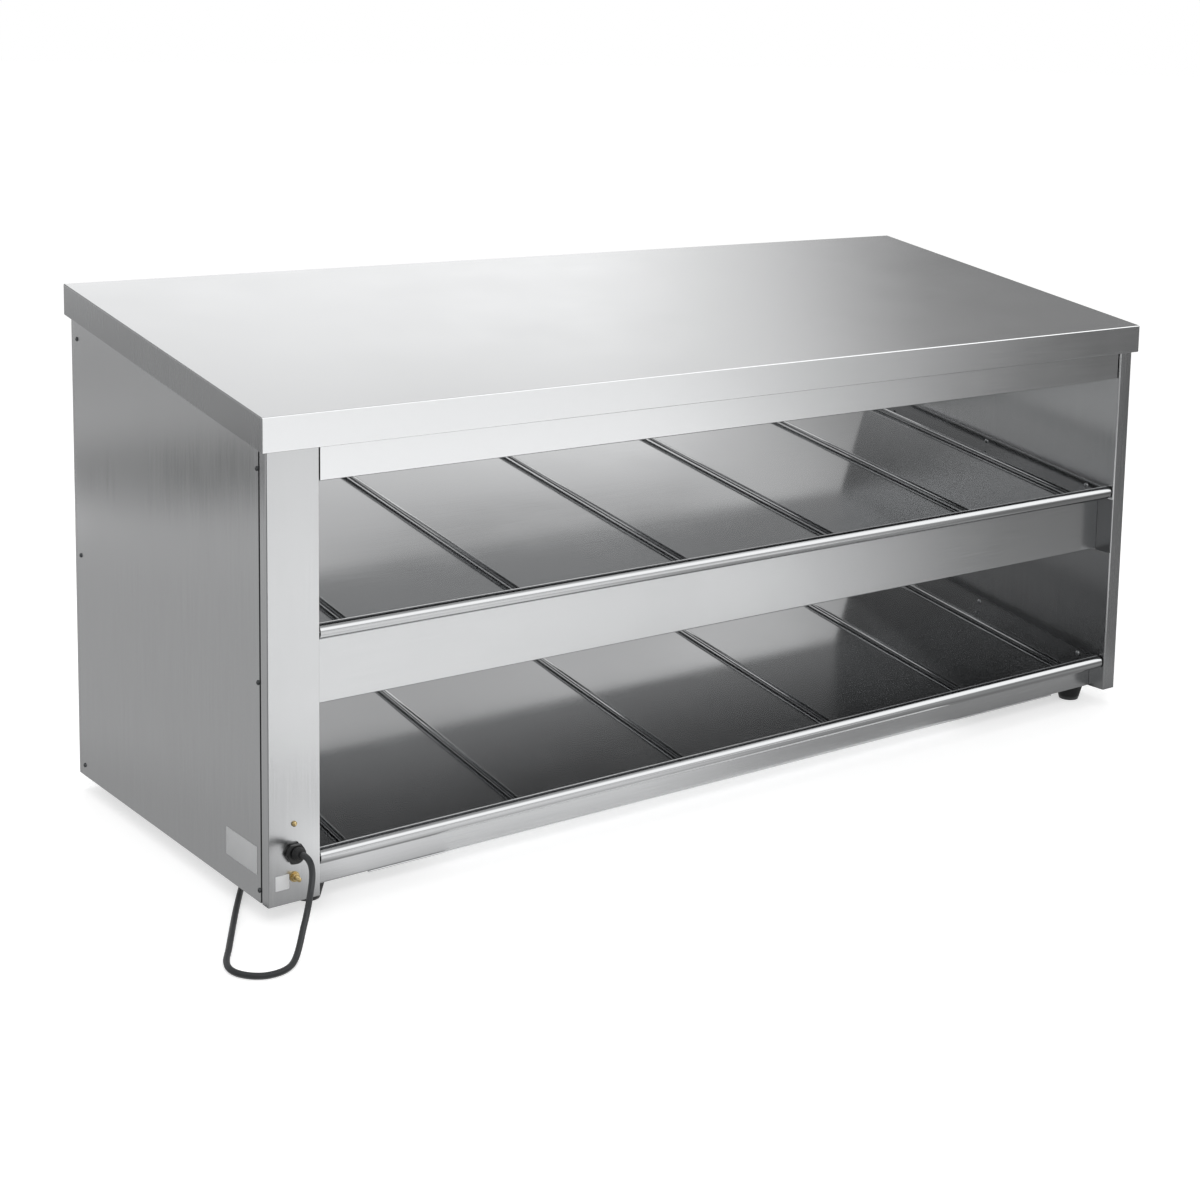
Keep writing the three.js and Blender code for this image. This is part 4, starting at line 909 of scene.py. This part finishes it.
def knobMesh():
    shape = knob["profile"] + [(radius, height) for radius, height, share in knob["grip"]] + knob["crown"]
    grip = turned(shape, knob["sides"])
    shares = {round(height, 3): share for radius, height, share in knob["grip"]}
    for corner in grip.verts:
        share = shares.get(round(corner.co.z, 3), 0)
        if share:
            wave = 0.5 - 0.5 * cos(knob["flutes"] * atan2(corner.co.y, corner.co.x))
            pull = 1 - knob["fluteDepth"] * share * wave / Vector(corner.co[:2]).length
            corner.co.x *= pull
            corner.co.y *= pull
    rib = knob["pointer"]
    rings = []
    for height, inset in rib["levels"]:
        half, near, far = rib["half"] - inset, rib["from"] + inset, rib["to"] - inset
        rings.append([(-half, -near, height), (half, -near, height), (half, -far, height),
                      (-half, -far, height)])
    return combined("knob", [grip, skinned(rings)], "UNION", 40)


knobBody = knobMesh()
knobPlace = (service, knob["depth"], knob["height"])
knobBody.transform(placing("back", knobPlace))
addObject("control_knob", knobBody, knobPlastic, "thermostat_dial", "black_plastic", ("thermostat_knob",))
line = knob["line"]
ink = boxForm((-line["half"], line["half"]), (-line["to"], -line["from"]), (line["low"], line["high"]))
seat(ink, "back", knobPlace)
addForm("knob_pointer_line", ink, whiteInk, "thermostat_dial")

# Rocker switch: a dished paddle on two pins, in a rounded bezel
rocker = {
    "height": 330.0,
    "pivotDepth": 507.0,
    "halfWidth": 7.5,
    "radius": 12.2,
    "endDepth": 4.2,
    "dip": 2.0,
    "backDepth": -3.0,
    "tiltDeg": 9,
    "pinRadius": 1.5,
    "pinHalf": 8.7,
    "softEdge": 0.5,
    "bezelEdge": 0.8,
    "steps": 14,
}


def rockerMesh():
    radius, deep, back = rocker["radius"], rocker["endDepth"], rocker["backDepth"]
    steps = rocker["steps"]
    high = (radius ** 2 - deep ** 2) ** 0.5
    endDeg, backDeg = degrees(acos(deep / radius)), degrees(acos(back / radius))
    dish = [(rocker["dip"] + (deep - rocker["dip"]) * (2 * k / steps - 1) ** 2, high * (2 * k / steps - 1))
            for k in range(steps + 1)]
    above = arc(0, 0, radius, endDeg, backDeg, 8)[1:]
    below = arc(0, 0, radius, -backDeg, -endDeg, 8)[:-1]
    paddle = prismX(dish + above + below, -rocker["halfWidth"], rocker["halfWidth"])
    pin = turned([(rocker["pinRadius"], -rocker["pinHalf"]), (rocker["pinRadius"], rocker["pinHalf"])], 24)
    bmesh.ops.transform(pin, matrix=facing["right"], verts=pin.verts)
    return combined("rocker", [paddle, pin], "UNION", 40)


paddleBody = rockerMesh()
paddleBody.transform(placing("up", (service, rocker["pivotDepth"], rocker["height"]),
                             Matrix.Rotation(radians(rocker["tiltDeg"]), 4, "X")))
paddlePiece = addObject("rocker_paddle", paddleBody, knobPlastic, "switch_rocker", "black_plastic",
                        ("power_switch_rocker",))
addModifier(paddlePiece, "BEVEL", {"limit_method": "ANGLE", "angle_limit": radians(50),
                                   "width": rocker["softEdge"] * mm, "segments": 3})
foldedCopy("switch_bezel", "power_switch_body", knobPlastic, outer=rocker["bezelEdge"], segments=3,
           slotName="black_plastic")
print("controls fitted")

# Solids whose shape is right keep their place and get their finish
kept = (
    (heaterMat, ("upper_heating_mat", "lower_heating_mat")),
    (woolBoard, ("upper_insulation_board", "lower_insulation_board")),
    (whiteSteatite, ("thermostat_body", "terminal_block")),
    (leadSheath, ("supply_lead", "switch_lead", "upper_heater_lead", "lower_heater_lead")),
    (glandNylon, ("gland_locknut",)),
    (polishedRod, ("thermostat_shaft",)),
)
for material, nodes in kept:
    for node in nodes:
        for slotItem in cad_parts[node].material_slots:
            slotItem.material = material
print("inner parts finished")

# Room: a white ground, soft lamps, and cards that only the metal sees, in metres
room = {
    "groundColour": "#D8D8D8",
    "groundSize": 60,
    "groundLift": 0.53,
    "skyDiffuse": 0.7,
    "aim": (0, 0, 0.3),
    "lamps": [
        {"name": "frontSoftbox", "place": (-1.6, -2.6, 2.6), "size": (2.2, 1.6), "power": 40},
        {"name": "topSoftbox", "place": (0.2, 0.3, 3.2), "size": (2.4, 1.4), "power": 30},
    ],
    # each sweep goes round the case: angles run from the back towards the right, soft gives the degrees
    # over which its two edges fade, a station is distance out, height and brightness, and leans are
    # the degrees by which each station's first or last edge is turned
    "sweeps": [
        {"name": "rightBackFlag", "angles": (37, 96), "soft": (15, 11),
         "stations": [(0.45, 0.004, 0.34), (3.5, 0.004, 0.34), (7.5, 0.004, 0.26), (7.5, 2.9, 0.26),
                      (7.5, 3.5, 0.26), (7.5, 4.3, 0.26), (7.5, 7.0, 0.26)],
         "firstLeans": [0, 0, 0, -1.0, 1.8, 8.7, 13.2]},
        {"name": "rightFrontFlag", "centre": (0.14, 0), "angles": (86, 150), "soft": (10, 19),
         "stations": [(0.35, 0.005, 0.3), (1.6, 0.005, 0.27), (3.0, 0.005, 0.15), (3.8, 0.005, 0.13),
                      (7.4, 0.005, 0.12), (7.4, 0.4, 0.18), (7.4, 1.9, 0.6)],
         "lastLeans": [0, 0, 0, -2.3, -3, -3, -3]},
        {"name": "frontSoftCard", "angles": (84, 225), "soft": (26, 20),
         "stations": [(7.0, 1.7, 1.3), (7.0, 2.6, 1.95), (7.0, 6.0, 1.95), (7.0, 7.6, 1.2), (7.0, 9.5, 0.6),
                      (4.0, 12.0, 0.5), (0.3, 13.0, 0.5)]},
        {"name": "backBoard", "angles": (-12, 52), "soft": (6, 6),
         "stations": [(0.5, 0.002, 0.5), (8.0, 0.002, 0.5), (8.0, 0.25, 1.5), (8.0, 1.1, 1.5),
                      (8.0, 1.5, 0.5), (8.0, 2.4, 1.18), (8.0, 4.2, 1.27), (8.0, 4.7, 0.92),
                      (8.0, 5.4, 0.75), (8.0, 6.2, 0.52)]},
        {"name": "leftCard", "angles": (-150, -6), "soft": (10, 8),
         "stations": [(0.5, 0.003, 0.45), (0.78, 0.003, 0.46), (0.92, 0.003, 0.53), (1.6, 0.003, 0.53),
                      (1.95, 0.003, 0.6), (3.2, 0.003, 0.6), (3.6, 0.003, 0.48), (4.4, 0.003, 0.46),
                      (4.5, 0.2, 0.6), (4.5, 0.42, 1.2), (4.5, 1.0, 1.2), (4.5, 1.4, 0.75), (4.5, 2.1, 0.78),
                      (4.5, 2.38, 0.34), (4.5, 2.55, 0.2), (4.5, 2.75, 0.11), (4.5, 5.0, 0.1)]},
        # painted shadow: a dark patch of ground on the camera's side, seen only in the metal
        {"name": "cameraSideShadow", "centre": (-0.66, -0.262), "angles": (166, 268), "soft": (8, 12),
         "stations": [(0.12, 0.005, 0.3), (2.5, 0.005, 0.2), (5.0, 0.005, 0.2), (5.0, 1.0, 0.2),
                      (5.0, 1.6, 0.5)]},
    ],
    "sweepSteps": 60,
    # the flag's ends are angle and height, and its edge is height from its middle and how much shows
    "flag": {"out": 7.7, "from": (29, 5.15), "to": (49, 3.95), "fade": 0.25, "steps": 20, "brightness": 0.5,
             "edge": [(-0.32, 0), (-0.05, 0.95), (0.1, 0.95), (0.38, 0)]},
    # each strip lies just over the ground along the case, where the case shades it: a station is depth,
    # brightness and how much of it shows, and a spot along it is x and a share of the brightness
    "strips": [
        {"name": "shadeBackLeft",
         "spots": [(-2.3, 1), (-2.2, 1), (-1.42, 1), (-1.2, 9), (-0.95, 9), (-0.85, 9)],
         "stations": [(1.5, 0.12, 0), (1.62, 0.12, 1), (2.15, 0.12, 1), (2.3, 0.12, 0)]},
        {"name": "shadeBehind",
         "spots": [(-0.66, 0.35), (-0.6, 0.35), (-0.1, 0.35), (0.05, 1), (1.6, 1), (1.7, 1)],
         "stations": [(0.42, 0.03, 0), (0.50, 0.03, 1), (0.58, 0.04, 1), (0.70, 0.11, 1), (0.82, 0.28, 1),
                      (1.0, 0.45, 1), (1.3, 0.5, 0)]},
        {"name": "shadeBefore",
         "spots": [(-0.9, 0.75), (-0.62, 0.75), (-0.54, 1.6), (-0.42, 1.5), (-0.12, 1.45), (0, 1.15),
                   (0.1, 0.8), (0.22, 0.62), (0.35, 0.54), (0.8, 0.55), (0.9, 0.55)],
         "stations": [(-0.262, 0.5, 1), (-0.31, 0.72, 1), (-0.36, 0.8, 1), (-0.42, 0.88, 1),
                      (-0.5, 0.8, 0.8), (-0.62, 0.75, 0.7), (-0.8, 0.72, 0)]},
    ],
    "stripHeight": 0.008,
}
white = (1, 1, 1, 1)


# 1 for what the camera sees, straight or in metal and glass, and 0 for light that falls on things
def shownShare(tree):
    path = addNode(tree, "ShaderNodeLightPath")
    share = path.outputs["Is Camera Ray"]
    for ray in ("Is Glossy Ray", "Is Transmission Ray"):
        share = addNode(tree, "ShaderNodeMath", {"operation": "ADD", "use_clamp": True},
                        {0: share, 1: path.outputs[ray]}).outputs[0]
    return share


ground = bmesh.new()
bmesh.ops.create_grid(ground, x_segments=1, y_segments=1, size=room["groundSize"])
groundMesh = meshFrom("ground", ground)
groundMaterial, groundTree = newMaterial("paintedGround")
paint = addNode(groundTree, "ShaderNodeBsdfDiffuse", inputs={"Color": linear(room["groundColour"])})
lift = addNode(groundTree, "ShaderNodeMath", {"operation": "MULTIPLY"},
               {0: shownShare(groundTree), 1: room["groundLift"]})
glow = addNode(groundTree, "ShaderNodeEmission", inputs={"Color": white, "Strength": lift.outputs[0]})
both = addNode(groundTree, "ShaderNodeAddShader", inputs={0: paint.outputs[0], 1: glow.outputs[0]})
addNode(groundTree, "ShaderNodeOutputMaterial", inputs={"Surface": both.outputs[0]})
groundMesh.materials.append(groundMaterial)
linked("ground", groundMesh)

world = bpy.data.worlds.new("studio")
world.use_nodes = True
sky = world.node_tree
sky.nodes.clear()
level = addNode(sky, "ShaderNodeMapRange", inputs={
    "Value": shownShare(sky), "To Min": room["skyDiffuse"], "To Max": 1.0})
backdrop = addNode(sky, "ShaderNodeBackground", inputs={"Color": white, "Strength": level.outputs[0]})
addNode(sky, "ShaderNodeOutputWorld", inputs={"Surface": backdrop.outputs[0]})
scene.world = world

for lamp in room["lamps"]:
    data = bpy.data.lights.new(lamp["name"], "AREA")
    data.shape = "RECTANGLE"
    data.size, data.size_y = lamp["size"]
    data.energy = lamp["power"]
    light = linked(lamp["name"], data)
    light.location = lamp["place"]
    light.rotation_euler = (Vector(room["aim"]) - Vector(lamp["place"])).to_track_quat("-Z", "Y").to_euler()
    light.visible_camera = False
    light.visible_glossy = False   # the metal mirrors the cards and the ground instead


# A card is a sheet of light of its own that only reflections see; each of its points is a place,
# how much of it shows, and its brightness
def glossCard(name, columns):
    work = bmesh.new()
    share = work.verts.layers.float.new("share")
    tone = work.verts.layers.float.new("tone")
    rows = []
    for column in columns:
        rows.append([])
        for place, shown, bright in column:
            corner = work.verts.new(place)
            corner[share] = shown
            corner[tone] = bright
            rows[-1].append(corner)
    for before, after in zip(rows, rows[1:]):
        for a, b, c, d in zip(before, before[1:], after, after[1:]):
            work.faces.new((a, c, d, b))
    mesh = bpy.data.meshes.new(name)
    work.to_mesh(mesh)
    work.free()
    material, tree = newMaterial(name)
    amount = addNode(tree, "ShaderNodeAttribute", {"attribute_name": "share"}).outputs["Fac"]
    bright = addNode(tree, "ShaderNodeAttribute", {"attribute_name": "tone"}).outputs["Fac"]
    clear = addNode(tree, "ShaderNodeBsdfTransparent").outputs[0]
    shine = addNode(tree, "ShaderNodeEmission", inputs={"Color": white, "Strength": bright}).outputs[0]
    blend = addNode(tree, "ShaderNodeMixShader", inputs={0: amount, 1: clear, 2: shine}).outputs[0]
    addNode(tree, "ShaderNodeOutputMaterial", inputs={"Surface": blend})
    mesh.materials.append(material)
    card = linked(name, mesh)
    for ray in ("camera", "diffuse", "shadow", "transmission"):
        setattr(card, f"visible_{ray}", False)


# A place on a circle round the case, by its distance out, its angle from the back and its height
def around(centre, out, angleDeg, height):
    return (centre[0] + out * sin(radians(angleDeg)), centre[1] + out * cos(radians(angleDeg)), height)


# a narrow flag in front of the back board, lower towards the right
flag = room["flag"]
columns = []
for k in range(flag["steps"] + 1):
    part = k / flag["steps"]
    angle, middle = [a + (b - a) * part for a, b in zip(flag["from"], flag["to"])]
    side = min(part, 1 - part, flag["fade"]) / flag["fade"]
    columns.append([(around((0, 0), flag["out"], angle, middle + rise), shown * side, flag["brightness"])
                    for rise, shown in flag["edge"]])
glossCard("boardFlag", columns)

for sweep in room["sweeps"]:
    straight = [0] * len(sweep["stations"])
    leans = [sweep.get(edge, straight) for edge in ("firstLeans", "lastLeans")]
    columns = []
    for k in range(room["sweepSteps"] + 1):
        column = []
        for (out, height, bright), firstLean, lastLean in zip(sweep["stations"], *leans):
            start, end = sweep["angles"][0] + firstLean, sweep["angles"][1] + lastLean
            angle = start + (end - start) * k / room["sweepSteps"]
            shown = min((angle - start) / sweep["soft"][0], (end - angle) / sweep["soft"][1], 1)
            column.append((around(sweep.get("centre", (0, 0)), out, angle, height), shown, bright))
        columns.append(column)
    glossCard(sweep["name"], columns)
for strip in room["strips"]:
    lastSpot = len(strip["spots"]) - 1
    glossCard(strip["name"], [
        [((x, y, room["stripHeight"]), 0 if k in (0, lastSpot) else shown, bright * part)
         for y, bright, shown in strip["stations"]] for k, (x, part) in enumerate(strip["spots"])])
print("room lit")

scene.view_settings.view_transform = "Standard"
